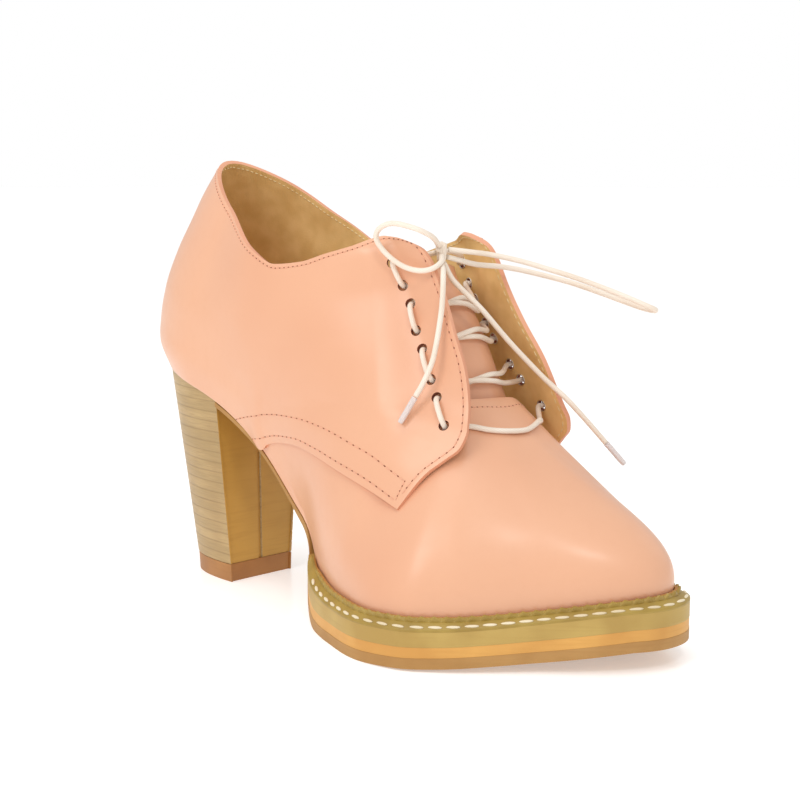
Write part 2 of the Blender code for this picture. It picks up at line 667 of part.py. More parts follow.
def make_upper(cutters, frame):
    """One hollow wall: the vamp, and the quarters laid over it as a step."""
    quarters = grid_mesh("quarters_form", quarter_rows())
    vamp = grid_mesh("vamp_form", vamp_rows())
    for obj in (quarters, vamp):
        cutters.objects.link(obj)
    wall_modifier(quarters, LEATHER, 0.0)
    wall_modifier(vamp, LEATHER, -1.0)
    upper = evaluated_copy(vamp, "upper")
    quarters.parent = frame
    quarters.hide_render = True
    quarters.display_type = "WIRE"
    bpy.data.objects.remove(vamp)
    boolean(upper, quarters, "UNION")
    for side in (1, -1):
        for index in range(len(HOLES["up"])):
            peg = hole_cutter(side, index)
            cutters.objects.link(peg)
            peg.parent = frame
            peg.hide_render = True
            peg.display_type = "WIRE"
            boolean(upper, peg, "DIFFERENCE")
    return upper


def tongue_point(across, up, lift):
    """Place over the tongue's front face; across runs from -1 at its inner edge to 1 at its outer edge."""
    step = 0.01
    low, high = side_curve(TONGUE, "up", max(up - step, 0.0)), side_curve(TONGUE, "up", min(up + step, 1.0))
    run = (high - low) / np.linalg.norm(high - low)
    away = np.array((run[1], -run[0]))
    fall = table_value(TONGUE, "crown", "up", up) * HALF_WIDTH
    half = table_value(TONGUE, "half_width", "up", up) * HALF_WIDTH
    y, z = side_curve(TONGUE, "up", up) + away * (lift - fall * across**2)
    return Vector((TONGUE_MIDDLE * HALF_WIDTH + half * across, y, z))


def make_tongue():
    """Loose plate behind the facings, held under the vamp's top edge."""
    across = [k / 4 - 1.0 for k in range(9)]
    levels = []
    for k in range(12):
        up = k / 11
        front = [tongue_point(t, up, 0.0) for t in across]
        back = [tongue_point(t, up, -TONGUE_THICKNESS) for t in across]
        levels.append((front, back))
    return block_mesh("tongue", levels)


def smooth_route(points, spacing):
    """Points a steady distance apart on a smooth curve through the route's own points."""
    route = [Vector(point) for point in points]
    ends = [route[0] * 2.0 - route[1], *route, route[-1] * 2.0 - route[-2]]
    fine = []
    for k in range(1, len(ends) - 2):
        before, start, end, after = ends[k - 1:k + 3]
        for step in range(12):
            t = step / 12
            fine.append(0.5 * (
                2.0 * start + (end - before) * t + (2.0 * before - 5.0 * start + 4.0 * end - after) * t**2
                + (3.0 * start - before - 3.0 * end + after) * t**3))
    fine.append(route[-1])
    run = [0.0]
    for start, end in zip(fine, fine[1:]):
        run.append(run[-1] + (end - start).length)
    count = max(3, round(run[-1] / spacing) + 1)
    places = np.linspace(0.0, run[-1], count)
    return [Vector([np.interp(place, run, [point[axis] for point in fine]) for axis in range(3)]) for place in places]


def lace_tube(name, points, radius=LACE_RADIUS):
    curve = bpy.data.curves.new(name, "CURVE")
    curve.dimensions = "3D"
    curve.bevel_depth = radius
    curve.bevel_resolution = 2
    curve.use_fill_caps = True
    spline = curve.splines.new("POLY")
    spline.points.add(len(points) - 1)
    for place, point in zip(spline.points, points):
        place.co = (*point, 1.0)
    return bpy.data.objects.new(name, curve)


def lace_mesh(name, points):
    """Lace as a closed mesh, so that it can be joined to another."""
    tube = lace_tube(name, points)
    bpy.context.scene.collection.objects.link(tube)
    solid = evaluated_copy(tube, name)
    curve = tube.data
    bpy.data.objects.remove(tube)
    bpy.data.curves.remove(curve)
    form = bmesh.new()
    form.from_mesh(solid.data)
    bmesh.ops.remove_doubles(form, verts=form.verts, dist=1e-6)
    form.to_mesh(solid.data)
    form.free()
    solid.name = name
    return solid


def hole_mouth(side, index, rise):
    """Point on a hole's axis; rise is the distance outwards from the middle of the leather."""
    point, normal = hole_place(side, index)
    return point + normal * rise


def strand(outer_hole, inner_hole, up):
    """Lace from the inside of a hole, over the tongue, to the inside of a hole in the other facing."""
    inside = -(LEATHER / 2.0 + LACE_RADIUS + LACE_CLEARANCE)
    lift = LACE_RADIUS + 1.5 * LACE_CLEARANCE
    low, high = up + 0.02 * (inner_hole - outer_hole), up - 0.02 * (inner_hole - outer_hole)
    return (
        hole_mouth(1, outer_hole, inside),
        tongue_point(0.55, low, lift),
        tongue_point(0.0, up, lift),
        tongue_point(-0.55, high, lift),
        hole_mouth(-1, inner_hole, inside),
    )


def make_crossing(number, cutters):
    """Two strands joined where they cross over the tongue."""
    upper_hole, lower_hole, up = CROSSINGS[number]
    spacing = 5.4 * LACE_RADIUS
    first = lace_mesh(f"lace_crossing_{number + 1}", smooth_route(strand(upper_hole, lower_hole, up), spacing))
    second = lace_mesh("lace_strand_form", smooth_route(strand(lower_hole, upper_hole, up), spacing))
    cutters.objects.link(second)
    second.hide_render = True
    second.display_type = "WIRE"
    boolean(first, second, "UNION")
    return first, second


def make_bar():
    """Lowest strand, across the vamp from one bottom hole to the other."""
    bottom = len(HOLES["up"]) - 1
    inside = -(LEATHER / 2.0 + LACE_RADIUS + LACE_CLEARANCE)
    route = [hole_mouth(1, bottom, inside)]
    for side, station, share in BAR_ROUTE:
        step = 0.01
        point = vamp_point(side, station, share)
        across = vamp_point(side, station - step, share) - point
        upward = vamp_point(side, station, share - step) - point
        away = across.cross(upward).normalized()
        if away.z < 0.0:
            away.negate()
        route.append(point + away * (LACE_RADIUS + LACE_CLEARANCE))
    route.append(hole_mouth(-1, bottom, inside))
    return lace_tube("lace_bar", smooth_route(route, 4.0 * LACE_RADIUS))


def make_outside_strand(side, upper_hole):
    """Short strand over the facing's outside, from one hole to the next."""
    face = LEATHER / 2.0
    over = face + LACE_RADIUS + LACE_CLEARANCE
    ends = (hole_place(side, upper_hole), hole_place(side, upper_hole + 1))
    (high, high_normal), (low, low_normal) = ends
    middle = (high + low) / 2.0
    normal = (high_normal + low_normal).normalized()
    route = (
        high,
        high.lerp(low, 0.16) + high_normal * (over * 0.9),
        middle + normal * (over * 1.15),
        high.lerp(low, 0.84) + low_normal * (over * 0.9),
        low,
    )
    label = "outer" if side > 0 else "inner"
    return lace_tube(f"lace_{label}_{upper_hole // 2 + 1}", smooth_route(route, 2.6 * LACE_RADIUS))


def make_top_strand():
    """Strand from both top holes to the back of the knot."""
    inside = -(LEATHER / 2.0 + LACE_RADIUS + LACE_CLEARANCE)
    route = (hole_mouth(1, 0, inside), *TOP_STRAND, hole_mouth(-1, 0, inside))
    return lace_tube("lace_top", smooth_route(route, 4.0 * LACE_RADIUS))


def make_knot():
    mesh = bpy.data.meshes.new("lace_knot")
    form = bmesh.new()
    bmesh.ops.create_uvsphere(form, u_segments=12, v_segments=8, radius=1.0)
    bmesh.ops.scale(form, vec=KNOT_RADII, verts=form.verts)
    bmesh.ops.translate(form, vec=KNOT_PLACE, verts=form.verts)
    form.to_mesh(mesh)
    form.free()
    return bpy.data.objects.new("lace_knot", mesh)


def make_aglet(name, route):
    """Sleeve that follows on from the lace's end."""
    end = Vector(route[-1])
    along = (end - Vector(route[-2])).normalized()
    start = end + along * SEAM_GAP
    return lace_tube(name, [start, start + along * (AGLET_LENGTH / 2.0), start + along * AGLET_LENGTH], AGLET_RADIUS)


def build():
    for obj in list(bpy.data.objects):
        bpy.data.objects.remove(obj)
    scene = bpy.context.scene
    shoe = bpy.data.collections.new("heeled_lace_up_shoe")
    cutters = bpy.data.collections.new("cutters")
    scene.collection.children.link(shoe)
    scene.collection.children.link(cutters)
    frame = bpy.data.objects.new("shoe_frame", None)
    frame.location = (-REST_POINT[0], -REST_POINT[1], 0.0)
    shoe.objects.link(frame)

    pink = material("pink_leather", (0.80, 0.47, 0.35), 0.42)
    olive = material("olive_sole", (0.50, 0.42, 0.22), 0.6)
    orange = material("orange_stripe", (0.68, 0.42, 0.16), 0.6)
    brown = material("brown_rubber", (0.33, 0.20, 0.09), 0.65)
    tan = material("stacked_leather", (0.55, 0.40, 0.22), 0.55)
    lining = material("lining_suede", (0.50, 0.34, 0.15), 0.9)
    cord = material("waxed_cord", (0.86, 0.76, 0.66), 0.6)
    clear = material("clear_tip", (0.85, 0.82, 0.84), 0.25)

    finish(make_outsole(), shoe, frame, brown)
    finish(make_stripe(), shoe, frame, orange)
    finish(make_platform(), shoe, frame, olive)
    finish(make_welt(), shoe, frame, olive)
    finish(make_heel(), shoe, frame, tan)
    finish(make_lift(), shoe, frame, brown)
    finish(make_insole(), shoe, frame, lining)
    finish(make_upper(cutters, frame), shoe, frame, pink)
    finish(make_tongue(), shoe, frame, pink)
    for number in range(len(CROSSINGS)):
        crossing, form = make_crossing(number, cutters)
        form.parent = frame
        finish(crossing, shoe, frame, cord)
    finish(make_bar(), shoe, frame, cord, smooth=None)
    finish(make_top_strand(), shoe, frame, cord, smooth=None)
    for side in (1, -1):
        for upper_hole in range(0, len(HOLES["up"]), 2):
            finish(make_outside_strand(side, upper_hole), shoe, frame, cord, smooth=None)
    finish(make_knot(), shoe, frame, cord)
    tube_spacing = 5.4 * LACE_RADIUS
    for name, route in (
        ("lace_loop_outer", LOOP_OUTER),
        ("lace_loop_inner", LOOP_INNER),
        ("lace_end_outer", END_OUTER),
        ("lace_end_inner", END_INNER),
    ):
        spacing = 4.0 * LACE_RADIUS if route is LOOP_OUTER else tube_spacing
        finish(lace_tube(name, smooth_route(route, spacing)), shoe, frame, cord, smooth=None)
    finish(make_aglet("aglet_outer", END_OUTER), shoe, frame, clear, smooth=None)
    finish(make_aglet("aglet_inner", END_INNER), shoe, frame, clear, smooth=None)


build()
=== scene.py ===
"""Women's heeled lace-up shoe in pink leather, right foot, standing empty on a pale floor."""
import math
from functools import lru_cache

import bmesh
import bpy
import numpy as np
from mathutils import Matrix, Vector


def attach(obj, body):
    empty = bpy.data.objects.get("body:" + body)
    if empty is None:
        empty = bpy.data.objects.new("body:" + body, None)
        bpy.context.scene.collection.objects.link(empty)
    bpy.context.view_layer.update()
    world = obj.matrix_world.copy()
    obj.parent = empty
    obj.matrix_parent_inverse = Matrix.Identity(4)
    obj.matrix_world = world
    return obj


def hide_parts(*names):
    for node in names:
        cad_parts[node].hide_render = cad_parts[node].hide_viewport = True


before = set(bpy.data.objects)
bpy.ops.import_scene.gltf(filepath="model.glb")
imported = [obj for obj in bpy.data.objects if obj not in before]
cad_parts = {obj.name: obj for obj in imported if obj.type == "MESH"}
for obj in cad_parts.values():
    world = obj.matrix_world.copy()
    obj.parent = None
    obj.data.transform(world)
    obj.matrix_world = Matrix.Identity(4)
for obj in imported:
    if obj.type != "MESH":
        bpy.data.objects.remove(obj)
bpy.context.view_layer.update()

# Camera, light and floor
# The shoe is seen from its toe and outer side, a little above the ground, through a long lens.
# It stands on a pale, faintly glossy floor. Broad soft lights are above it and on its outer side, a faint one
# is on its inner side, and a small one gives the toe its gleam.
VIEW_AZIMUTH = math.radians(44.62)
VIEW_ELEVATION = math.radians(8.75)
VIEW_DISTANCE = 0.600
VIEW_TARGET = Vector((-0.012, -0.032, 0.070))
LENS = 72.43
LENS_SHIFT = (0.0289, 0.0177)
SENSOR_WIDTH = 36.0
LIGHTS_AIM = Vector((0.0, 0.0, 0.06))
SKY_LIGHT = 0.72
FLOOR_GLOW = 0.33
FLOOR_RADIUS = 12.0

view_way = Vector((
    math.sin(VIEW_AZIMUTH) * math.cos(VIEW_ELEVATION),
    math.cos(VIEW_AZIMUTH) * math.cos(VIEW_ELEVATION),
    math.sin(VIEW_ELEVATION),
))
camera = bpy.data.objects.new("camera", bpy.data.cameras.new("camera"))
bpy.context.scene.collection.objects.link(camera)
camera.location = VIEW_TARGET + view_way * VIEW_DISTANCE
camera.rotation_euler = (-view_way).to_track_quat("-Z", "Y").to_euler()
camera.data.lens = LENS
camera.data.sensor_width = SENSOR_WIDTH
camera.data.shift_x, camera.data.shift_y = LENS_SHIFT
bpy.context.scene.camera = camera


def soft_light(name, place, size, power):
    light = bpy.data.lights.new(name, "AREA")
    light.shape = "DISK"
    light.size = size
    light.energy = power
    lamp = bpy.data.objects.new(name, light)
    bpy.context.scene.collection.objects.link(lamp)
    lamp.location = place
    lamp.rotation_euler = (Vector(place) - LIGHTS_AIM).to_track_quat("Z", "Y").to_euler()


soft_light("overhead", (0.15, -0.10, 1.10), 0.8, 2.6)
soft_light("outer_side", (0.98, -0.02, 0.78), 0.6, 3.8)
soft_light("inner_side", (-0.95, 0.30, 0.55), 0.7, 0.3)
soft_light("toe_gleam", (0.31, 0.56, 0.74), 0.14, 1.0)
bpy.context.scene.view_settings.view_transform = "Standard"

world = bpy.data.worlds.new("studio")
bpy.context.scene.world = world
world.use_nodes = True
sky_nodes, sky_links = world.node_tree.nodes, world.node_tree.links
sky_path, sky_light = sky_nodes.new("ShaderNodeLightPath"), sky_nodes.new("ShaderNodeMapRange")
sky_light.inputs["To Min"].default_value = SKY_LIGHT
sky_links.new(sky_path.outputs["Is Camera Ray"], sky_light.inputs["Value"])
sky_links.new(sky_light.outputs["Result"], sky_nodes["Background"].inputs["Strength"])
sky_nodes["Background"].inputs["Color"].default_value = (1.0, 1.0, 1.0, 1.0)


def plain_material(name, colour, roughness, specular=0.5):
    made = bpy.data.materials.new(name)
    made.use_nodes = True
    shader = made.node_tree.nodes["Principled BSDF"]
    shader.inputs["Base Color"].default_value = (*colour, 1.0)
    shader.inputs["Roughness"].default_value = roughness
    shader.inputs["Specular IOR Level"].default_value = specular
    return made


def link_form(name, form, *finishes, smooth=True):
    """Object from a bmesh, at the origin, with its finishes."""
    mesh = bpy.data.meshes.new(name)
    form.to_mesh(mesh)
    form.free()
    for finish in finishes:
        mesh.materials.append(finish)
    if smooth:
        mesh.shade_smooth()
    piece = bpy.data.objects.new(name, mesh)
    bpy.context.scene.collection.objects.link(piece)
    return piece


floor_form = bmesh.new()
bmesh.ops.create_circle(floor_form, cap_ends=True, segments=96, radius=FLOOR_RADIUS)
pale_floor = plain_material("pale_floor", (0.96, 0.955, 0.95), 0.22, 0.35)
floor_shader = pale_floor.node_tree.nodes["Principled BSDF"]
floor_shader.inputs["Emission Color"].default_value = (1.0, 1.0, 1.0, 1.0)
floor_shader.inputs["Emission Strength"].default_value = FLOOR_GLOW
floor = link_form("floor", floor_form, pale_floor, smooth=False)

# Platform sole
# Three flat sheets are cemented under the forefoot: brown rubber outsole, orange midsole and olive platform.
# Only the outsole goes on under the arch to the heel. Their outline and heights follow the last, given as
# shares of its length, half width and heel height, read between stations along it.
LENGTH = 0.2354
HALF_WIDTH = 0.0430
HEEL_SEAT_HEIGHT = 0.0825
COLLAR_HEIGHT = 0.1630
SEAM_GAP = 0.0003
REST_POINT = Vector((0.0120, 0.1420, 0.0))
WELD = 2e-6
HEEL_ROUNDING = 0.15
TOE_ROUNDING = 0.12
SEAT = {
    "station": (0.0, 0.1, 0.2, 0.3, 0.4, 0.45, 0.5, 0.55, 0.62, 0.8, 1.0),
    "height": (1.000, 0.952, 0.867, 0.703, 0.400, 0.273, 0.194, 0.164, 0.155, 0.165, 0.245),
}
OUTLINE = {
    "station": (0.0, 0.2, 0.3, 0.4, 0.5, 0.6, 0.7, 0.75, 0.8, 0.85, 0.9, 0.95, 1.0),
    "middle": (0.058, 0.093, 0.086, 0.081, 0.147, 0.221, 0.267, 0.244, 0.163, 0.070, -0.028, -0.116, -0.186),
    "outer": (0.535, 0.535, 0.512, 0.477, 0.698, 0.907, 1.023, 1.012, 0.919, 0.756, 0.593, 0.512, 0.442),
    "inner": (0.535, 0.535, 0.512, 0.488, 0.605, 0.814, 0.965, 0.965, 0.884, 0.767, 0.628, 0.512, 0.442),
}
UNDERSIDE = {
    "station": (0.0, 0.2, 0.3, 0.4, 0.43, 0.46, 0.5, 0.54, 0.66, 0.8, 0.9, 1.0),
    "height": (0.945, 0.812, 0.651, 0.345, 0.255, 0.165, 0.040, 0.0, 0.0, 0.013, 0.042, 0.086),
}


@lru_cache(maxsize=None)
def curve_value(stations, values, at):
    """Smooth curve through a table's column that never overshoots it."""
    count = len(stations)
    index = 0
    while index < count - 2 and at > stations[index + 1]:
        index += 1

    def slope(k):
        return (values[k + 1] - values[k]) / (stations[k + 1] - stations[k])

    def tangent(k):
        if k == 0 or k == count - 1:
            return slope(min(k, count - 2))
        before, after = slope(k - 1), slope(k)
        return 2.0 * before * after / (before + after) if before * after > 0.0 else 0.0

    width = stations[index + 1] - stations[index]
    t = (at - stations[index]) / width
    start, end = values[index], values[index + 1]
    rise_in, rise_out = tangent(index) * width, tangent(index + 1) * width
    return (
        start * (2 * t**3 - 3 * t**2 + 1) + rise_in * (t**3 - 2 * t**2 + t)
        + end * (3 * t**2 - 2 * t**3) + rise_out * (t**3 - t**2)
    )


def table_value(table, column, key, at):
    return curve_value(table[key], table[column], at)


def seat_height(y):
    return HEEL_SEAT_HEIGHT * table_value(SEAT, "height", "station", min(max(y / LENGTH, 0.0), 1.0))


def underside_height(y):
    return HEEL_SEAT_HEIGHT * table_value(UNDERSIDE, "height", "station", min(max(y / LENGTH, 0.0), 1.0))


def closing(station):
    if station < HEEL_ROUNDING:
        return math.sqrt(max(0.0, 1.0 - (1.0 - station / HEEL_ROUNDING) ** 2))
    if station > 1.0 - TOE_ROUNDING:
        share = (station - 1.0 + TOE_ROUNDING) / TOE_ROUNDING
        return max(0.0, 1.0 - share**2.2) ** (1.0 / 2.2)
    return 1.0


@lru_cache(maxsize=None)
def feather_place(side, station):
    middle = table_value(OUTLINE, "middle", "station", station)
    half = table_value(OUTLINE, "outer" if side > 0 else "inner", "station", station) * closing(station)
    return ((middle + side * half) * HALF_WIDTH, station * LENGTH)


@lru_cache(maxsize=None)
def outward_way(side, station):
    if station <= 0.0:
        return (0.0, -1.0)
    if station >= 1.0:
        return (0.0, 1.0)
    low, high = feather_place(side, max(station - 0.004, 0.0)), feather_place(side, min(station + 0.004, 1.0))
    run = Vector(((high[1] - low[1]) * side, (low[0] - high[0]) * side)).normalized()
    return (run.x, run.y)


def outline_point(side, station, margin):
    place, way = feather_place(side, station), outward_way(side, station)
    return Vector((place[0] + way[0] * margin, place[1] + way[1] * margin, 0.0))


def crowded(start, end, share):
    """Station at a share of the way, with the stations crowded where the outline closes."""
    low, high = math.acos(1.0 - 2.0 * start), math.acos(1.0 - 2.0 * end)
    return (1.0 - math.cos(low + (high - low) * share)) / 2.0


def ease(value, start, end):
    share = min(max((value - start) / (end - start), 0.0), 1.0)
    return share * share * (3.0 - 2.0 * share)


def lay_grid(across, along, place):
    """Grid whose points are laid at place(u, v), both from 0 to 1, and which keeps them as its UV map."""
    form = bmesh.new()
    form.loops.layers.uv.new("UVMap")
    bmesh.ops.create_grid(form, x_segments=across, y_segments=along, size=0.5, calc_uvs=True)
    for vert in form.verts:
        vert.co = place(round(vert.co.x + 0.5, 6), round(vert.co.y + 0.5, 6)) - REST_POINT
    form.normal_update()
    return form


def close_form(form):
    """Weld the seams of a rolled grid and cap what is still open."""
    bmesh.ops.remove_doubles(form, verts=form.verts, dist=WELD)
    bmesh.ops.dissolve_degenerate(form, edges=form.edges, dist=1e-6)
    bmesh.ops.holes_fill(form, edges=[edge for edge in form.edges if edge.is_boundary], sides=0)
    bmesh.ops.recalc_face_normals(form, faces=form.faces)
    return form


def surface_group():
    """Fine grain, pores and a slow change of tone, from noise in the piece's own coordinates."""
    group = bpy.data.node_groups.new("grain_and_tone", "ShaderNodeTree")
    for label, value in (("Grain Scale", 2500.0), ("Tone Scale", 25.0)):
        socket = group.interface.new_socket(name=label, in_out="INPUT", socket_type="NodeSocketFloat")
        socket.default_value = value
    for label in ("Grain", "Pores", "Tone"):
        group.interface.new_socket(name=label, in_out="OUTPUT", socket_type="NodeSocketFloat")
    nodes, links = group.nodes, group.links
    given, result = nodes.new("NodeGroupInput"), nodes.new("NodeGroupOutput")
    place = nodes.new("ShaderNodeTexCoord")
    grain, tone = nodes.new("ShaderNodeTexNoise"), nodes.new("ShaderNodeTexNoise")
    grain.inputs["Detail"].default_value = 3.0
    tone.inputs["Detail"].default_value = 2.0
    pores = nodes.new("ShaderNodeTexVoronoi")
    pores.feature = "DISTANCE_TO_EDGE"
    for texture, label in ((grain, "Grain Scale"), (tone, "Tone Scale"), (pores, "Grain Scale")):
        links.new(place.outputs["Object"], texture.inputs["Vector"])
        links.new(given.outputs[label], texture.inputs["Scale"])
    links.new(grain.outputs["Fac"], result.inputs["Grain"])
    links.new(pores.outputs["Distance"], result.inputs["Pores"])
    links.new(tone.outputs["Fac"], result.inputs["Tone"])
    return group


GRAIN = surface_group()


def toned_material(name, light, dark, roughness, grain_scale, bump, depth=0.0001, tone_scale=30.0, **sockets):
    """Principled material that drifts between two colours, with a grained surface."""
    made = plain_material(name, light, roughness)
    nodes, links = made.node_tree.nodes, made.node_tree.links
    shader = nodes["Principled BSDF"]
    effect = nodes.new("ShaderNodeGroup")
    effect.node_tree = GRAIN
    effect.inputs["Grain Scale"].default_value = grain_scale
    effect.inputs["Tone Scale"].default_value = tone_scale
    ramp = nodes.new("ShaderNodeValToRGB")
    ramp.name = "tone"
    ramp.color_ramp.elements[0].position = 0.36
    ramp.color_ramp.elements[0].color = (*dark, 1.0)
    ramp.color_ramp.elements[1].position = 0.64
    ramp.color_ramp.elements[1].color = (*light, 1.0)
    relief = nodes.new("ShaderNodeBump")
    relief.name = "relief"
    relief.inputs["Strength"].default_value = bump
    relief.inputs["Distance"].default_value = depth
    links.new(effect.outputs["Tone"], ramp.inputs["Fac"])
    links.new(ramp.outputs["Color"], shader.inputs["Base Color"])
    links.new(effect.outputs["Grain"], relief.inputs["Height"])
    links.new(relief.outputs["Normal"], shader.inputs["Normal"])
    for label, value in sockets.items():
        shader.inputs[label.replace("_", " ")].default_value = value
    return made


def tint_by(made, factor, colour, name):
    """Lay a colour over the material's base colour where factor, an output socket, is high."""
    nodes, links = made.node_tree.nodes, made.node_tree.links
    shader = nodes["Principled BSDF"]
    mix = nodes.new("ShaderNodeMix")
    mix.name = name
    mix.data_type = "RGBA"
    under = shader.inputs["Base Color"].links[0].from_socket
    links.new(factor, mix.inputs["Factor"])
    links.new(under, mix.inputs[6])
    mix.inputs[7].default_value = (*colour, 1.0)
    links.new(mix.outputs[2], shader.inputs["Base Color"])


def spread(made, source, low, high, first, last):
    """Output that runs from first to last while the source runs from low to high."""
    reach = made.node_tree.nodes.new("ShaderNodeMapRange")
    for label, value in (("From Min", low), ("From Max", high), ("To Min", first), ("To Max", last)):
        reach.inputs[label].default_value = value
    made.node_tree.links.new(source, reach.inputs["Value"])
    return reach.outputs["Result"]


def drawn_noise(made, scale, detail=2.0):
    """Noise drawn out along the piece's own axes, after the place that it is read at."""
    nodes, links = made.node_tree.nodes, made.node_tree.links
    place, stretch = nodes.new("ShaderNodeTexCoord"), nodes.new("ShaderNodeMapping")
    stretch.inputs["Scale"].default_value = scale
    noise = nodes.new("ShaderNodeTexNoise")
    noise.inputs["Scale"].default_value = 1.0
    noise.inputs["Detail"].default_value = detail
    links.new(place.outputs["Object"], stretch.inputs["Vector"])
    links.new(stretch.outputs["Vector"], noise.inputs["Vector"])
    return stretch.outputs["Vector"], noise.outputs["Fac"]


TREAD_THICKNESS = 0.0037
STRIPE_THICKNESS = 0.0036
SOLE_MARGIN = 0.0055
LAYER_START = 0.462
HEEL_BREAST_TOP = 0.0470
WAIST_CLEARANCE = 0.0005
EDGE_EASE = 0.00006
LAP = 0.0001
WAIST_SOLE = 0.0018
TREAD_PITCH = 0.0032
TREAD_CUT = 0.0004
TREAD_CLIMB = 0.0009


def platform_margin(station):
    return SOLE_MARGIN * ease(station, 0.40, 0.54)


def tread_top(y):
    climb = TREAD_CLIMB * (1.0 - min(max((y / LENGTH - 0.46) / 0.10, 0.0), 1.0))
    return min(underside_height(y) + TREAD_THICKNESS + climb, seat_height(y) - WAIST_CLEARANCE)


def waist_underside(y):
    """Underside of the outsole, which is skived thin under the arch."""
    full, thin = underside_height(y), tread_top(y) - WAIST_SOLE
    return full + (thin - full) * (1.0 - ease(y / LENGTH, 0.34, 0.47))


def stripe_top(y):
    room = seat_height(y) - tread_top(y) - 3.0 * SEAM_GAP
    return tread_top(y) + SEAM_GAP + min(STRIPE_THICKNESS, 0.42 * room)


def layer_form(start, margin, bottom, top, along=220, tread=False):
    """Sheet from a station to the toe; its section is walked once round, with eased corners."""
    bottom_steps, side_steps = 16, 8
    walk = [(2.0 * k / bottom_steps - 1.0, 1.0, 0.0, 0.0) for k in range(bottom_steps + 1)]
    walk += [(1.0, 0.3, 0.0, 0.3), (1.0, 0.0, 0.0, 1.0)]
    walk += [(1.0, 0.0, k / side_steps, 0.0) for k in range(1, side_steps)]
    walk += [(1.0, 0.0, 1.0, -1.0), (1.0, 0.3, 1.0, -0.3)]
    walk += [(1.0 - 2.0 * k / bottom_steps, 1.0, 1.0, 0.0) for k in range(bottom_steps + 1)]
    walk += [(-1.0, 0.3, 1.0, -0.3), (-1.0, 0.0, 1.0, -1.0)]
    walk += [(-1.0, 0.0, 1.0 - k / side_steps, 0.0) for k in range(1, side_steps)]
    walk += [(-1.0, 0.0, 0.0, 1.0), (-1.0, 0.3, 0.0, 0.3)]
    walk.append(walk[0])

    def place(u, v):
        across, inset, height, lift = walk[round(u * (len(walk) - 1))]
        station = crowded(start, 1.0, v)
        reach = margin(station) - EDGE_EASE * inset
        outer, inner = outline_point(1, station, reach), outline_point(-1, station, reach)
        point = inner.lerp(outer, (across + 1.0) / 2.0)
        low, high = bottom(point.y), top(point.y)
        point.z = low + (high - low) * height + lift * EDGE_EASE
        if tread and height == 0.0 and station > 0.47 and abs(across) < 0.9:
            point.z += TREAD_CUT * ease(math.sin(2.0 * math.pi * point.y / TREAD_PITCH), 0.1, 0.6)
        return point

    return close_form(lay_grid(len(walk) - 1, along, place))


def sole_material(name, light, dark, roughness):
    made = toned_material(name, light, dark, roughness, 900.0, 0.35, 0.00015, 60.0)
    _, streaks = drawn_noise(made, (40.0, 40.0, 900.0))
    tint_by(made, spread(made, streaks, 0.50, 0.75, 0.0, 0.55), dark, "streaks")
    return made


OLIVE = (0.500, 0.335, 0.088)
OLIVE_DARK = (0.420, 0.265, 0.062)
olive_edge = sole_material("olive_painted_edge", OLIVE, OLIVE_DARK, 0.50)
orange_edge = sole_material("orange_painted_edge", (0.70, 0.365, 0.085), (0.60, 0.29, 0.06), 0.50)
brown_rubber = sole_material("brown_outsole_rubber", (0.460, 0.245, 0.072), (0.39, 0.195, 0.05), 0.58)

outsole = link_form(
    "outsole_sheet",
    layer_form(
        HEEL_BREAST_TOP / LENGTH + 0.003, platform_margin, waist_underside, tread_top, 420, tread=True),
    brown_rubber)
stripe = link_form(
    "orange_midsole",
    layer_form(LAYER_START, lambda s: platform_margin(s) - LAP, lambda y: tread_top(y) - LAP, stripe_top),
    orange_edge)
platform = link_form(
    "olive_platform",
    layer_form(LAYER_START, platform_margin, lambda y: stripe_top(y) - LAP, seat_height),
    olive_edge)
for piece, node, finish in (
    (outsole, "outsole", "brown_rubber"),
    (stripe, "platform_stripe", "orange_stripe"),
    (platform, "platform", "olive_sole"),
):
    piece.data.set_sharp_from_angle(angle=math.radians(55.0))
    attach(piece, "root")
    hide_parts(node)

# Welt
# An olive leather strip is laid on the platform round the forefoot and sewn down with thick cream thread.
# Its inner edge is pinked into rounded teeth, and turned up against the vamp.
WELT_THICKNESS = 0.0022
WELT_EDGE = 0.0007
WELT_LIP = 0.0022
WELT_LIP_TOP = 0.0042
WELT_START = 0.475
WELT_WAIST = 0.0028
WELT_BED = 0.00008
WELT_SAMPLES = 900
TOOTH_PITCH = 0.0041
TOOTH_HEIGHT = 0.0013
TOOTH_CREST = 0.35
BACKING_DROP = 0.0006
WELT_CORNERS = 14
WELT_STITCH_PITCH = 0.0058
WELT_STITCH_LENGTH = 0.0050
WELT_THREAD = 0.00060
WELT_SEAM = 0.0011


def welt_station(share):
    """Side and station at a share of the way from the outer waist round the toe to the inner waist."""
    if share <= 0.5:
        return 1, crowded(WELT_START, 1.0, share * 2.0)
    return -1, crowded(WELT_START, 1.0, (1.0 - share) * 2.0)


def welt_runs(margin):
    """Length along the welt at even shares of its path."""
    points = []
    for k in range(WELT_SAMPLES + 1):
        side, station = welt_station(k / WELT_SAMPLES)
        points.append(outline_point(side, station, margin))
    runs = [0.0]
    for start, end in zip(points, points[1:]):
        runs.append(runs[-1] + (end - start).length)
    return runs


welt_length = welt_runs(WELT_LIP)


def welt_reach(station):
    return max(platform_margin(station) + 0.00003, WELT_WAIST)


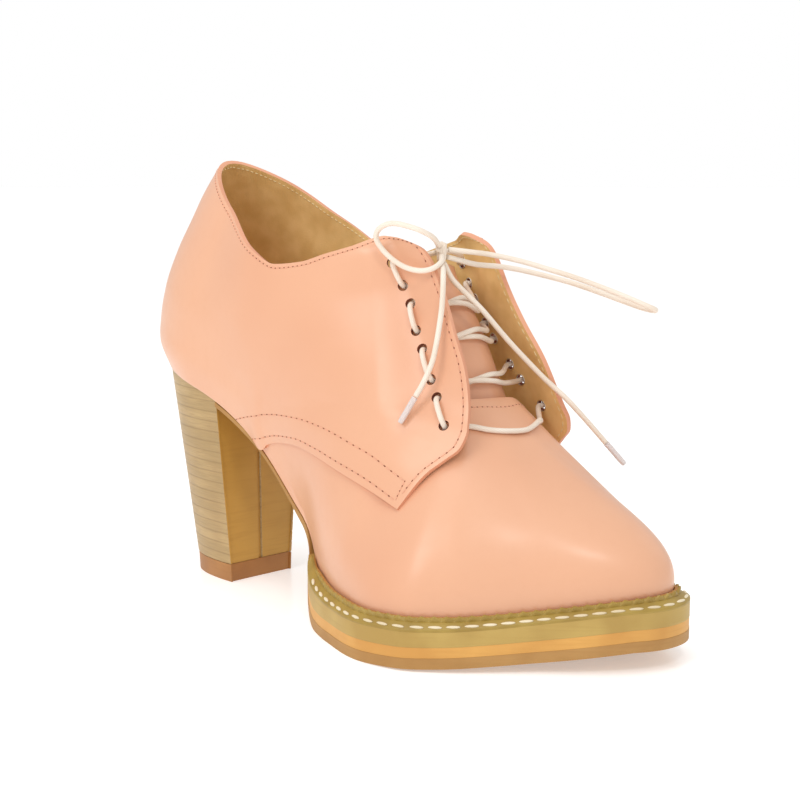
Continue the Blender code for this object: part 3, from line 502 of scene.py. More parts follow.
def welt_point(u, v):
    side, station = welt_station(v)
    reach = welt_reach(station)
    lip = 2.0 * SEAM_GAP + (WELT_LIP - 0.0007) * min(1.0, reach / SOLE_MARGIN)
    run = float(np.interp(v * WELT_SAMPLES, range(WELT_SAMPLES + 1), welt_length))
    beat = run / TOOTH_PITCH % 1.0
    tooth = TOOTH_HEIGHT * min(beat / TOOTH_CREST, (1.0 - beat) / (1.0 - TOOTH_CREST)) ** 0.7
    turned_up = ease(station, WELT_START + 0.01, WELT_START + 0.06)
    low_crest, low_backing = WELT_THICKNESS + 0.0004, WELT_THICKNESS + 0.0003
    crest = low_crest + (WELT_LIP_TOP - TOOTH_HEIGHT + tooth - low_crest) * turned_up
    backing = low_backing + (WELT_LIP_TOP - BACKING_DROP - low_backing) * turned_up
    lean = 0.0004 * tooth / TOOTH_HEIGHT * turned_up
    profile = (
        (SEAM_GAP, 0.0), (reach - LAP, -4.0 * LAP), (reach, -3.0 * LAP), (reach, WELT_EDGE * 0.5),
        (reach - 0.0003, WELT_EDGE), (reach * 0.5 + lip * 0.5, WELT_EDGE * 0.5 + WELT_THICKNESS * 0.5),
        (lip + 0.0006, WELT_THICKNESS), (lip + 0.0002, WELT_THICKNESS + 0.0001),
        (lip + lean, crest * 0.5 + 0.0012), (lip - 0.0001 + lean, crest - 0.0003), (lip - 0.0004, crest),
        (lip - 0.0006, backing),
        (SEAM_GAP + 0.0002, backing), (SEAM_GAP, backing - 0.0003), (SEAM_GAP, 0.0),
    )
    margin, rise = profile[round(u * (len(profile) - 1))]
    point = outline_point(side, station, margin)
    point.z = seat_height(point.y) + WELT_BED + rise
    return point


WELT_OLIVE = (0.390, 0.258, 0.048)
WELT_OLIVE_DARK = (0.325, 0.205, 0.034)
olive_welt = toned_material(
    "olive_welt_leather", WELT_OLIVE, WELT_OLIVE_DARK, 0.46, 1400.0, 0.4, 0.00012, 120.0)
brown_backing = toned_material("brown_welt_backing", (0.50, 0.25, 0.06), (0.40, 0.18, 0.04), 0.7, 1400.0, 0.4)
welt_form = close_form(lay_grid(WELT_CORNERS, 1400, welt_point))
welt_map = welt_form.loops.layers.uv.active
for face in welt_form.faces:
    face.material_index = int(min(loop[welt_map].uv.x for loop in face.loops) > 10.5 / WELT_CORNERS)
welt = link_form("pinked_welt", welt_form, olive_welt, brown_backing)
welt.data.set_sharp_from_angle(angle=math.radians(50.0))
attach(welt, "root")
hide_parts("welt")


def add_stitch(form, place, along, up, length, thread):
    """One stitch: a small ball drawn out along the seam and bedded in the leather."""
    across = up.cross(along).normalized()
    turn = Matrix((along, across, up)).transposed().to_4x4()
    size = Matrix.Diagonal((length / 2.0, thread, thread * 0.8, 1.0))
    bmesh.ops.create_icosphere(
        form, subdivisions=2, radius=1.0, matrix=Matrix.Translation(place) @ turn @ size)


welt_stitches = bmesh.new()
stitch_count = int(welt_length[-1] / WELT_STITCH_PITCH)
welt_shares = [k / WELT_SAMPLES for k in range(WELT_SAMPLES + 1)]
for number in range(2, stitch_count - 1):
    run = (number + 0.5) * WELT_STITCH_PITCH
    ends = []
    for shift in (-0.4, 0.4):
        share = float(np.interp(run + shift * WELT_STITCH_LENGTH, welt_length, welt_shares))
        side, station = welt_station(share)
        seam = welt_reach(station) - WELT_SEAM + shift * 0.0006
        point = outline_point(side, station, seam)
        point.z = seat_height(point.y) + WELT_EDGE + 0.0005
        ends.append(point - REST_POINT)
    way = (ends[1] - ends[0]).normalized()
    out = outward_way(side, station)
    up = Vector((out[0] * 0.5, out[1] * 0.5, 1.0))
    up = (up - way * up.dot(way)).normalized()
    add_stitch(welt_stitches, (ends[0] + ends[1]) / 2.0, way, up, WELT_STITCH_LENGTH, WELT_THREAD)
cream_thread = toned_material("cream_sole_thread", (0.82, 0.72, 0.52), (0.70, 0.58, 0.38), 0.7, 3000.0, 0.5)
welt_thread = link_form("welt_stitching", welt_stitches, cream_thread)
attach(welt_thread, "root")

# Heel
# The block heel is built up of leather lifts, planed smooth and waxed, so its sides show the lines between
# them. Its breast is a plain brown face with one groove down the middle. A brown rubber top lift is nailed on
# below.
LIFT_THICKNESS = 0.0069
LIFT_MARGIN = 0.0003
HEEL_HALF_WIDTH = 0.0152
HEEL_DEPTH = 0.0320
HEEL_BREAST = 0.0548
HEEL_OFFSET = 0.0100
GROOVE_HALF_WIDTH = 0.0010
GROOVE_DEPTH = 0.0007
STACK_PITCH = 0.0040
STACK_GROOVE = 0.00016
STACK_GROOVE_REACH = 0.00035
STACK_WANDER = 0.16
LIFT_GAP = 0.0001
BREAST_INSET = 0.0006
HEEL_SIDE_STEPS = 28


def heel_outline(share, margin=0.0, groove=0.0):
    """Closed line round the heel at a share of its height: outer side from the back, breast, inner side."""
    breast = HEEL_BREAST + (HEEL_BREAST_TOP - HEEL_BREAST) * share
    seat_station = HEEL_BREAST_TOP / LENGTH
    sides = {}
    for side in (1, -1):
        line = []
        for k in range(HEEL_SIDE_STEPS + 1):
            turn = math.pi / 2.0 * k / HEEL_SIDE_STEPS
            ground = Vector((
                HEEL_OFFSET + side * HEEL_HALF_WIDTH * min(1.0, math.sin(turn) ** 0.8),
                HEEL_BREAST - HEEL_DEPTH * math.cos(turn), 0.0))
            seat = outline_point(side, max(1e-9, seat_station * (1.0 - math.cos(turn))), 0.0)
            away = Vector((side * math.sin(turn), -math.cos(turn), 0.0))
            if k == HEEL_SIDE_STEPS:
                away = Vector((side, 0.0, 0.0))
            point = ground.lerp(seat, share) + away * margin
            point.y = min(point.y, breast)
            line.append(point)
        sides[side] = line
    outer, inner = sides[1][-1], sides[-1][-1]
    middle = (outer + inner) / 2.0
    breast_line = [
        outer + Vector((-BREAST_INSET, 0.0, 0.0)), outer + Vector((-BREAST_INSET, -BREAST_INSET, 0.0))]
    for step in (0.75, 0.5, 0.25):
        breast_line.append(middle.lerp(outer, step) + Vector((0.0, -BREAST_INSET, 0.0)))
    for shift, cut in ((1.0, 0.0), (0.6, 1.0), (-0.6, 1.0), (-1.0, 0.0)):
        breast_line.append(middle + Vector((shift * GROOVE_HALF_WIDTH, -BREAST_INSET - cut * groove, 0.0)))
    for step in (0.25, 0.5, 0.75):
        breast_line.append(middle.lerp(inner, step) + Vector((0.0, -BREAST_INSET, 0.0)))
    breast_line += [
        inner + Vector((BREAST_INSET, -BREAST_INSET, 0.0)), inner + Vector((BREAST_INSET, 0.0, 0.0))]
    return sides[1] + breast_line + list(reversed(sides[-1]))


HEEL_POINTS = len(heel_outline(0.0))


@lru_cache(maxsize=None)
def heel_line(share, margin, groove):
    return heel_outline(share, margin, groove)


def heel_point(u, v):
    index = round(u * (HEEL_POINTS - 1))
    low = LIFT_THICKNESS + LIFT_GAP
    crown = heel_line(1.0, 0.0, GROOVE_DEPTH)[index]
    top = seat_height(crown.y) - SEAM_GAP
    height = low + (top - low) * v
    share = round(height / HEEL_SEAT_HEIGHT, 4)
    seam = abs((height - low) / STACK_PITCH - round((height - low) / STACK_PITCH)) * STACK_PITCH
    on_side = index <= HEEL_SIDE_STEPS or index >= HEEL_POINTS - 1 - HEEL_SIDE_STEPS
    cut = STACK_GROOVE * max(0.0, 1.0 - seam / STACK_GROOVE_REACH) if on_side else 0.0
    point = heel_line(min(share, 1.0), 0.0, GROOVE_DEPTH)[index].copy()
    if cut:
        point -= (point - Vector((HEEL_OFFSET, 0.030, 0.0))).normalized() * cut
    point.z = height
    return point


def reckon(made, operation, *terms):
    """Output of one sum, whose terms are numbers or other nodes' outputs."""
    node = made.node_tree.nodes.new("ShaderNodeMath")
    node.operation = operation
    for socket, term in zip(node.inputs, terms):
        if isinstance(term, float):
            socket.default_value = term
        else:
            made.node_tree.links.new(term, socket)
    return node.outputs["Value"]


def stacked_material():
    """Side of the stack: each lift has its own tone and a dark line below it, with fine fibres along it."""
    made = toned_material(
        "stacked_heel_leather", (0.520, 0.350, 0.150), (0.430, 0.275, 0.110), 0.50, 700.0, 0.6, 0.0002, 45.0,
        Coat_Weight=0.15, Coat_Roughness=0.3)
    nodes, links = made.node_tree.nodes, made.node_tree.links
    lifts, wander = drawn_noise(made, (35.0, 35.0, 1.0 / STACK_PITCH))
    parts = nodes.new("ShaderNodeSeparateXYZ")
    links.new(lifts, parts.inputs["Vector"])
    height = reckon(made, "MULTIPLY_ADD", wander, STACK_WANDER, parts.outputs["Z"])
    height = reckon(made, "SUBTRACT", height, (LIFT_THICKNESS + LIFT_GAP) / STACK_PITCH + 0.05)
    beat = reckon(made, "PINGPONG", height, 0.5)
    _, fibres = drawn_noise(made, (120.0, 120.0, 2400.0), 4.0)
    tint_by(made, spread(made, fibres, 0.45, 0.75, 0.0, 0.6), (0.31, 0.20, 0.075), "fibres")
    tint_by(made, spread(made, wander, 0.40, 0.62, 0.0, 0.55), (0.36, 0.235, 0.09), "lift_tones")
    tint_by(made, spread(made, beat, 0.0, 0.11, 0.40, 0.0), (0.20, 0.115, 0.035), "lift_lines")
    links.new(fibres, nodes["relief"].inputs["Height"])
    return made


def breast_material():
    made = toned_material(
        "brown_heel_breast", (0.570, 0.315, 0.058), (0.50, 0.27, 0.045), 0.42, 600.0, 0.2, 0.0001, 40.0)
    _, lines = drawn_noise(made, (60.0, 60.0, 900.0), 5.0)
    tint_by(made, spread(made, lines, 0.48, 0.72, 0.0, 0.3), (0.42, 0.21, 0.035), "grain_lines")
    return made


heel_form = close_form(lay_grid(HEEL_POINTS - 1, 330, heel_point))
breast_y = HEEL_BREAST_TOP - REST_POINT.y - 0.0015
for face in heel_form.faces:
    face.material_index = 1 if face.normal.y > 0.6 and face.calc_center_median().y > breast_y else 0
heel = link_form("stacked_heel", heel_form, stacked_material(), breast_material())
heel.data.set_sharp_from_angle(angle=math.radians(40.0))
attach(heel, "root")
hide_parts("heel")


def lift_point(u, v):
    index = round(u * (HEEL_POINTS - 1))
    steps = ((0.6, 0.0), (0.1, 0.0), (0.0, 0.0004), (0.0, LIFT_THICKNESS - 0.0004), (0.1, LIFT_THICKNESS))
    inset, height = steps[round(v * 4)]
    point = heel_line(0.04 * height / LIFT_THICKNESS, LIFT_MARGIN, 0.0)[index].copy()
    point -= (point - Vector((HEEL_OFFSET, 0.038, 0.0))).normalized() * inset * 0.0008
    point.z = height
    return point


lift_rubber = sole_material("brown_lift_rubber", (0.43, 0.190, 0.050), (0.36, 0.150, 0.038), 0.5)
lift = link_form("rubber_top_lift", close_form(lay_grid(HEEL_POINTS - 1, 4, lift_point)), lift_rubber)
lift.data.set_sharp_from_angle(angle=math.radians(35.0))
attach(lift, "root")
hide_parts("top_lift")

# Insole
# A board covered in napped tan lining lies inside the upper, from the back of the heel to the toe.
# It is cut to the last's outline less the upper's wall.
INSOLE_THICKNESS = 0.0020
LEATHER = 0.0018


def insole_margin(station):
    share = min(max((station - 0.20) / 0.06, 0.0), 1.0)
    return -(LEATHER * (0.6 + 0.6 * share) + 2.0 * SEAM_GAP)


napped_lining = toned_material(
    "napped_tan_lining", (0.840, 0.560, 0.230), (0.72, 0.45, 0.16), 0.92, 1500.0, 0.5, 0.00015, 110.0,
    Sheen_Weight=0.35, Sheen_Roughness=0.5, Sheen_Tint=(0.85, 0.68, 0.42, 1.0))
insole_form = layer_form(
    0.004, insole_margin, lambda y: seat_height(y) + SEAM_GAP,
    lambda y: seat_height(y) + SEAM_GAP + INSOLE_THICKNESS, 160)
insole = link_form("covered_insole", insole_form, napped_lining)
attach(insole, "root")
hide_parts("insole")

# Vamp
# One piece of smooth pink calf is lasted over the toe. Its top edge is the bottom of the throat,
# and its rear edges run on under the quarters, where both are sewn together.
BASE_RISE = 0.0030
VAMP_START = 0.300
WAIST_SMOOTHING = 40
WAIST_SMOOTHED = (0.385, 0.60)
FOOT_KEPT = 0.004
FOOT_SHARE = 0.06
EDGE_ROUND = 0.00038
LAP_END = 0.60
THROAT_START = 0.70
RIB_COLUMNS = (
    "station", "swell", "rise", "shoulder_x", "shoulder_y", "shoulder_z", "top_x", "top_y", "top_z")
OUTER_RIBS = (
    (0.300, 0.010, 0.008, 0.660, 0.304, 0.395, 0.302, 0.680, 0.509),
    (0.400, 0.020, 0.060, 0.700, 0.405, 0.350, 0.302, 0.680, 0.509),
    (0.500, 0.081, 0.110, 0.880, 0.510, 0.310, 0.302, 0.680, 0.509),
    (0.600, 0.060, 0.100, 0.980, 0.606, 0.290, 0.302, 0.680, 0.509),
    (0.700, 0.023, 0.104, 0.837, 0.705, 0.344, 0.302, 0.680, 0.509),
    (0.800, 0.035, 0.123, 0.791, 0.765, 0.356, 0.209, 0.695, 0.503),
    (0.900, 0.047, 0.141, 0.395, 0.820, 0.344, 0.081, 0.701, 0.502),
    (0.960, 0.070, 0.141, 0.093, 0.841, 0.319, -0.023, 0.703, 0.501),
    (1.000, 0.084, 0.138, -0.140, 0.850, 0.307, -0.093, 0.703, 0.500),
)
INNER_RIBS = (
    (0.300, 0.010, 0.008, -0.490, 0.304, 0.395, -0.512, 0.684, 0.491),
    (0.400, 0.050, 0.060, -0.560, 0.405, 0.350, -0.512, 0.684, 0.491),
    (0.500, 0.090, 0.110, -0.660, 0.510, 0.310, -0.512, 0.684, 0.491),
    (0.600, 0.060, 0.100, -0.740, 0.606, 0.290, -0.512, 0.684, 0.491),
    (0.700, 0.035, 0.104, -0.767, 0.697, 0.356, -0.490, 0.690, 0.462),
    (0.800, 0.023, 0.135, -0.721, 0.756, 0.356, -0.405, 0.700, 0.481),
    (0.900, 0.047, 0.141, -0.512, 0.816, 0.344, -0.256, 0.705, 0.497),
    (0.960, 0.070, 0.141, -0.302, 0.845, 0.313, -0.163, 0.704, 0.499),
    (1.000, 0.084, 0.138, -0.140, 0.850, 0.307, -0.093, 0.703, 0.500),
)
QUARTER_LOWER_EDGE = {
    "along": (0.4, 0.5, 0.6, 0.7, 0.8, 0.9, 1.0),
    "y": (0.306, 0.374, 0.429, 0.489, 0.552, 0.624, 0.690),
    "z": (0.347, 0.371, 0.376, 0.365, 0.345, 0.321, 0.291),
}
TOPLINE = {
    "along": (0.0, 0.1, 0.2, 0.3, 0.4, 0.5, 0.6, 0.7, 0.8, 0.9, 1.0),
    "y": (0.132, 0.183, 0.234, 0.280, 0.327, 0.374, 0.421, 0.467, 0.514, 0.556, 0.603),
    "z": (1.000, 0.951, 0.896, 0.850, 0.804, 0.773, 0.779, 0.799, 0.819, 0.840, 0.834),
}
BACK_SEAM = {
    "up": (0.0, 0.15, 0.27, 0.42, 0.59, 0.74, 0.86, 1.0),
    "y": (0.0, -0.021, -0.017, 0.0, 0.030, 0.064, 0.093, 0.132),
    "z": (0.506, 0.580, 0.638, 0.713, 0.798, 0.871, 0.933, 1.000),
}
FACING_EDGE = {
    "up": (0.0, 0.12, 0.2, 0.25, 0.29, 0.33, 0.5, 0.65, 0.8, 0.9, 0.95, 1.0),
    "y": (0.690, 0.714, 0.735, 0.750, 0.753, 0.748, 0.724, 0.692, 0.661, 0.640, 0.627, 0.603),
    "z": (0.291, 0.362, 0.396, 0.419, 0.445, 0.469, 0.571, 0.653, 0.739, 0.794, 0.818, 0.834),
}
BACK_ROUNDING = 0.2
FEATHER_SHARE = 0.4
FEATHER_REACH = 0.306
QUARTER_ALONG = (0.0, 0.2, 0.4, 0.6, 0.8, 0.9, 1.0)
QUARTER_UP = (0.0, 0.2, 0.4, 0.6, 0.8, 1.0)
OUTER_QUARTER_X = (
    (0.558, 0.628, 0.628, 0.581, 0.512, 0.442),
    (0.616, 0.686, 0.686, 0.651, 0.605, 0.558),
    (0.598, 0.686, 0.744, 0.767, 0.756, 0.733),
    (0.733, 0.767, 0.779, 0.756, 0.709, 0.651),
    (0.872, 0.814, 0.698, 0.581, 0.500, 0.512),
    (0.930, 0.767, 0.512, 0.395, 0.337, 0.360),
    (0.953, 0.686, 0.453, 0.372, 0.321, 0.326),
)
INNER_QUARTER_X = (
    (-0.442, -0.512, -0.512, -0.465, -0.395, -0.326),
    (-0.442, -0.523, -0.570, -0.581, -0.581, -0.558),
    (-0.425, -0.570, -0.674, -0.733, -0.744, -0.749),
    (-0.581, -0.698, -0.744, -0.756, -0.744, -0.721),
    (-0.628, -0.721, -0.721, -0.686, -0.663, -0.698),
    (-0.744, -0.756, -0.686, -0.581, -0.535, -0.558),
    (-0.767, -0.733, -0.605, -0.512, -0.453, -0.465),
)


@lru_cache(maxsize=None)
def side_curve(table, key, at):
    drawn = {"topline": TOPLINE, "back": BACK_SEAM, "facing": FACING_EDGE}[table]
    return (
        table_value(drawn, "y", key, at) * LENGTH,
        table_value(drawn, "z", key, at) * COLLAR_HEIGHT,
    )


@lru_cache(maxsize=None)
def lower_edge(along):
    if along <= FEATHER_SHARE:
        y = FEATHER_REACH * LENGTH * along / FEATHER_SHARE
        return (y, seat_height(y) + 1.5 * SEAM_GAP)
    y = table_value(QUARTER_LOWER_EDGE, "y", "along", along) * LENGTH
    z = table_value(QUARTER_LOWER_EDGE, "z", "along", along) * COLLAR_HEIGHT
    share = min((along - FEATHER_SHARE) / 0.04, 1.0)
    return (y, (seat_height(y) + 1.5 * SEAM_GAP) * (1.0 - share) + z * share)


@lru_cache(maxsize=None)
def back_seam(up):
    y, z = side_curve("back", "up", up)
    lowest = HEEL_SEAT_HEIGHT + 1.5 * SEAM_GAP
    return (y, max(z, lowest) if up > 0 else lowest)


def quarter_side_view(along, up):
    low, high = np.array(lower_edge(along)), np.array(side_curve("topline", "along", along))
    back, front = np.array(back_seam(up)), np.array(side_curve("facing", "up", up))
    corners = (
        (1 - along) * (1 - up) * np.array(lower_edge(0.0)) + along * (1 - up) * np.array(lower_edge(1.0))
        + (1 - along) * up * np.array(side_curve("topline", "along", 0.0))
        + along * up * np.array(side_curve("topline", "along", 1.0))
    )
    return (1 - up) * low + up * high + (1 - along) * back + along * front - corners


@lru_cache(maxsize=None)
def quarter_column(side, up):
    rows = OUTER_QUARTER_X if side > 0 else INNER_QUARTER_X
    return tuple(curve_value(QUARTER_UP, row, up) for row in rows)


def quarter_point(side, along, up):
    """Place on the middle of a quarter's leather."""
    middle = OUTLINE["middle"][0]
    reach = curve_value(QUARTER_ALONG, quarter_column(side, up), along) - middle
    if along < BACK_ROUNDING:
        reach *= math.sqrt(max(0.0, 1.0 - (1.0 - along / BACK_ROUNDING) ** 2))
    y, z = quarter_side_view(along, up)
    return Vector(((middle + reach) * HALF_WIDTH, y, z))


@lru_cache(maxsize=None)
def rib_values(side, station):
    rows = OUTER_RIBS if side > 0 else INNER_RIBS
    stations = tuple(row[0] for row in rows)
    return {
        name: curve_value(stations, tuple(row[k] for row in rows), station)
        for k, name in enumerate(RIB_COLUMNS) if k
    }


@lru_cache(maxsize=None)
def rib_ends(side, station):
    """Foot, swelling, shoulder and top of the vamp's rib at a station."""
    rib = rib_values(side, station)
    rising = BASE_RISE * (0.2 + 0.8 * ease(station, 0.40, 0.54))
    foot = outline_point(side, station, 0.0)
    foot.z = seat_height(foot.y) + SEAM_GAP + rising
    swelling = outline_point(side, station, rib["swell"] * HALF_WIDTH)
    swelling.z = foot.z + rib["rise"] * COLLAR_HEIGHT
    shoulder = Vector((
        rib["shoulder_x"] * HALF_WIDTH, rib["shoulder_y"] * LENGTH, rib["shoulder_z"] * COLLAR_HEIGHT))
    throat = Vector((rib["top_x"] * HALF_WIDTH, rib["top_y"] * LENGTH, rib["top_z"] * COLLAR_HEIGHT))
    held = min(station, THROAT_START)
    edge = QUARTER_LOWER_EDGE
    along = curve_value(edge["y"], edge["along"], min(max(held + 0.004, edge["y"][0]), edge["y"][-1]))
    lap = quarter_point(side, along, 0.06 + 0.08 * min(max((0.45 - held) / 0.15, 0.0), 1.0))
    return foot, swelling, shoulder, lap.lerp(throat, ease(station, LAP_END, THROAT_START))


def vamp_point(side, station, share):
    """Place on the vamp's outer surface, from the straight foot of its wall to its top edge."""
    foot, swelling, shoulder, top = rib_ends(side, station)
    rest = 1.0 - share
    return (
        foot * rest**3 + swelling * (3 * rest**2 * share) + shoulder * (3 * rest * share**2) + top * share**3)


def vamp_place(u, v):
    side, share = (1, u * 2.0) if u <= 0.5 else (-1, (1.0 - u) * 2.0)
    station = crowded(VAMP_START, 1.0, share)
    if v < FOOT_SHARE:
        point = outline_point(side, station, 0.0)
        point.z = seat_height(point.y) + SEAM_GAP
        return point.lerp(vamp_point(side, station, 0.0), v / FOOT_SHARE)
    return vamp_point(side, station, (v - FOOT_SHARE) / (1.0 - FOOT_SHARE))


def calf_material(name, light, dark):
    """Smooth pink calf: fine grain, soft shine, and a slow drift from peach to rose over the piece."""
    made = toned_material(
        name, light, dark, 0.40, 1900.0, 0.16, 0.00008, 14.0,
        Specular_IOR_Level=0.42, Coat_Weight=0.30, Coat_Roughness=0.24)
    nodes, links = made.node_tree.nodes, made.node_tree.links
    shader = nodes["Principled BSDF"]
    pore = nodes.new("ShaderNodeGroup")
    pore.node_tree = GRAIN
    pore.inputs["Grain Scale"].default_value = 900.0
    pore.inputs["Tone Scale"].default_value = 260.0
    creases = nodes.new("ShaderNodeBump")
    creases.inputs["Strength"].default_value = 0.10
    creases.inputs["Distance"].default_value = 0.00012
    links.new(pore.outputs["Pores"], creases.inputs["Height"])
    links.new(nodes["relief"].outputs["Normal"], creases.inputs["Normal"])
    links.new(creases.outputs["Normal"], shader.inputs["Normal"])
    tint_by(made, spread(made, pore.outputs["Tone"], 0.50, 0.80, 0.0, 0.25), dark, "speckle")
    links.new(spread(made, pore.outputs["Tone"], 0.0, 1.0, 0.34, 0.47), shader.inputs["Roughness"])
    return made


PINK = (0.765, 0.410, 0.250)
PINK_DARK = (0.730, 0.375, 0.225)
pink_calf = calf_material("pink_calf", PINK, PINK_DARK)
cut_edge = toned_material("pink_cut_edge", (0.78, 0.38, 0.23), (0.70, 0.31, 0.18), 0.6, 2600.0, 0.5)


def leather_wall(form, name, offset, outward_from, thickness=LEATHER):
    """Give an open surface its thickness; the inside takes the lining and the cut edge its own colour."""
    face = min(form.faces, key=lambda f: (f.calc_center_median() - outward_from[0]).length)
    if face.normal.dot(outward_from[1]) < 0.0:
        bmesh.ops.reverse_faces(form, faces=form.faces)
    sheet = link_form(name + "_sheet", form, pink_calf, napped_lining, cut_edge)
    wall = sheet.modifiers.new("wall", "SOLIDIFY")
    wall.thickness = thickness
    wall.offset = offset
    wall.use_even_offset = False
    wall.material_offset = 1
    wall.material_offset_rim = 2
    graph = bpy.context.evaluated_depsgraph_get()
    solid = bmesh.new()
    solid.from_mesh(sheet.evaluated_get(graph).to_mesh())
    bpy.data.objects.remove(sheet)
    rim = [e for e in solid.edges if len(e.link_faces) == 2
           and (e.link_faces[0].material_index == 2) != (e.link_faces[1].material_index == 2)]
    bmesh.ops.bevel(solid, geom=rim, offset=EDGE_ROUND, offset_type="OFFSET", segments=3, profile=0.5,
                    affect="EDGES", material=-1, clamp_overlap=True)
    return solid


vamp_form = lay_grid(200, 64, vamp_place)
bmesh.ops.remove_doubles(vamp_form, verts=vamp_form.verts, dist=WELD)
waist_verts = [
    vert for vert in vamp_form.verts
    if WAIST_SMOOTHED[0] < (vert.co.y + REST_POINT.y) / LENGTH < WAIST_SMOOTHED[1] and not vert.is_boundary
    and vert.co.z > seat_height(vert.co.y + REST_POINT.y) + FOOT_KEPT]
for _ in range(WAIST_SMOOTHING):
    bmesh.ops.smooth_vert(
        vamp_form, verts=waist_verts, factor=0.5, use_axis_x=True, use_axis_y=True, use_axis_z=True)
bmesh.ops.recalc_face_normals(vamp_form, faces=vamp_form.faces)
toe_cap = (vamp_point(1, 0.95, 0.2) - REST_POINT, Vector((0.3, 1.0, 0.2)))
vamp = link_form("vamp", leather_wall(vamp_form, "vamp", -1.0, toe_cap), pink_calf, napped_lining, cut_edge)
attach(vamp, "root")
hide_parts("upper")

# Quarters
# Two quarters meet at the back of the heel and end in the facings, whose free edges stand open over the
# tongue. They are pink calf lined with napped tan leather, with plain punched lace holes.
HOLE_RADIUS = 0.0019
LAP_STEP = 0.0009
CORNER_ALONG = 0.06
CORNER_UP = 0.12
FRONT_CROWDING = 1.2
HOLES = {
    "up": (0.875, 0.780, 0.710, 0.605, 0.535, 0.430, 0.375, 0.295),
    "outer_along": (0.863, 0.873, 0.883, 0.885, 0.892, 0.910, 0.925, 0.950),
    "inner_along": (0.800, 0.812, 0.822, 0.832, 0.840, 0.865, 0.885, 0.925),
}


def band_lift(along, up):
    """How far a quarter's lower band stands out over the vamp that it is lapped on."""
    return LAP_STEP * (1.0 - ease(up, 0.06, 0.30)) * ease(along, 0.37, 0.44)


def quarter_normal(side, along, up):
    step = 0.01
    across = quarter_point(side, min(along + step, 1.0), up) - quarter_point(side, max(along - step, 0.0), up)
    upward = quarter_point(side, along, min(up + step, 1.0)) - quarter_point(side, along, max(up - step, 0.0))
    normal = across.cross(upward).normalized()
    return normal if normal.x * side >= 0.0 else -normal


def rounded(along, up):
    """Shares with the quarter's top front corner cut to a round."""
    away, down = (1.0 - along) / CORNER_ALONG, (1.0 - up) / CORNER_UP
    if away >= 1.0 or down >= 1.0:
        return along, up
    first, second = 1.0 - away, 1.0 - down
    return (
        1.0 - CORNER_ALONG * (1.0 - first * math.sqrt(1.0 - second**2 / 2.0)),
        1.0 - CORNER_UP * (1.0 - second * math.sqrt(1.0 - first**2 / 2.0)),
    )


def quarter_place(u, v):
    side, shares = (1 if u <= 0.5 else -1), rounded(abs(1.0 - 2.0 * u) ** FRONT_CROWDING, v)
    return quarter_point(side, *shares) + quarter_normal(side, *shares) * band_lift(*shares)


def hole_place(side, index):
    along, up = HOLES["outer_along" if side > 0 else "inner_along"][index], HOLES["up"][index]
    return quarter_point(side, along, up), quarter_normal(side, along, up)


quarter_form = lay_grid(300, 76, quarter_place)
bmesh.ops.remove_doubles(quarter_form, verts=quarter_form.verts, dist=WELD)
bmesh.ops.recalc_face_normals(quarter_form, faces=quarter_form.faces)
side_wall = (quarter_point(1, 0.6, 0.5) - REST_POINT, Vector((1.0, 0.0, 0.0)))
# Dark red-brown painted shade, for the walls of the punched lace holes and the dots at the stitches' needle
# holes.
painted_hole_shade = toned_material(
    "needle_hole_painted_shade", (0.30, 0.085, 0.04), (0.22, 0.06, 0.03), 0.85, 3000.0, 0.3)
quarter_finishes = (pink_calf, napped_lining, cut_edge, painted_hole_shade)
quarters = link_form("quarters", leather_wall(quarter_form, "quarters", 0.0, side_wall), *quarter_finishes)
punches = bmesh.new()
for side in (1, -1):
    for index in range(len(HOLES["up"])):
        point, normal = hole_place(side, index)
        turn = Vector((0.0, 0.0, 1.0)).rotation_difference(normal).to_matrix().to_4x4()
        bmesh.ops.create_cone(
            punches, cap_ends=True, segments=24, radius1=HOLE_RADIUS, radius2=HOLE_RADIUS,
            depth=4.0 * LEATHER,
            matrix=Matrix.Translation(point - REST_POINT) @ turn)
# The hole walls take the painted shade instead of the cut edge's light pink.
for face in punches.faces:
    face.material_index = 3
punch = link_form("lace_hole_punch", punches, *quarter_finishes, smooth=False)
cut = quarters.modifiers.new("lace_holes", "BOOLEAN")
cut.operation = "DIFFERENCE"
cut.solver = "EXACT"
cut.object = punch
graph = bpy.context.evaluated_depsgraph_get()
punched = bpy.data.meshes.new_from_object(quarters.evaluated_get(graph))
quarters.modifiers.clear()
quarters.data = punched
punched.name = "quarters"
punched.shade_smooth()
punched.set_sharp_from_angle(angle=math.radians(60.0))
bpy.data.objects.remove(punch)
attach(quarters, "root")
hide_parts("upper")


# Tongue
# A loose plate of pink calf, lined in tan, lies behind the facings and is sewn in under the vamp's top edge.
# It is bowed over the instep, and its top corners are cut round.
TONGUE_THICKNESS = 0.0020
TONGUE = {
    "up": (0.0, 0.18, 0.34, 0.5, 0.68, 0.86, 0.96, 1.0),
    "y": (0.730, 0.696, 0.682, 0.666, 0.644, 0.616, 0.595, 0.587),
    "z": (0.423, 0.488, 0.540, 0.595, 0.656, 0.718, 0.759, 0.779),
    "half_width": (0.360, 0.430, 0.460, 0.470, 0.470, 0.440, 0.380, 0.250),
    "crown": (0.140, 0.220, 0.290, 0.335, 0.345, 0.310, 0.220, 0.080),
}
TONGUE_MIDDLE = -0.093


def tongue_line(up):
    return np.array((
        table_value(TONGUE, "y", "up", up) * LENGTH, table_value(TONGUE, "z", "up", up) * COLLAR_HEIGHT))


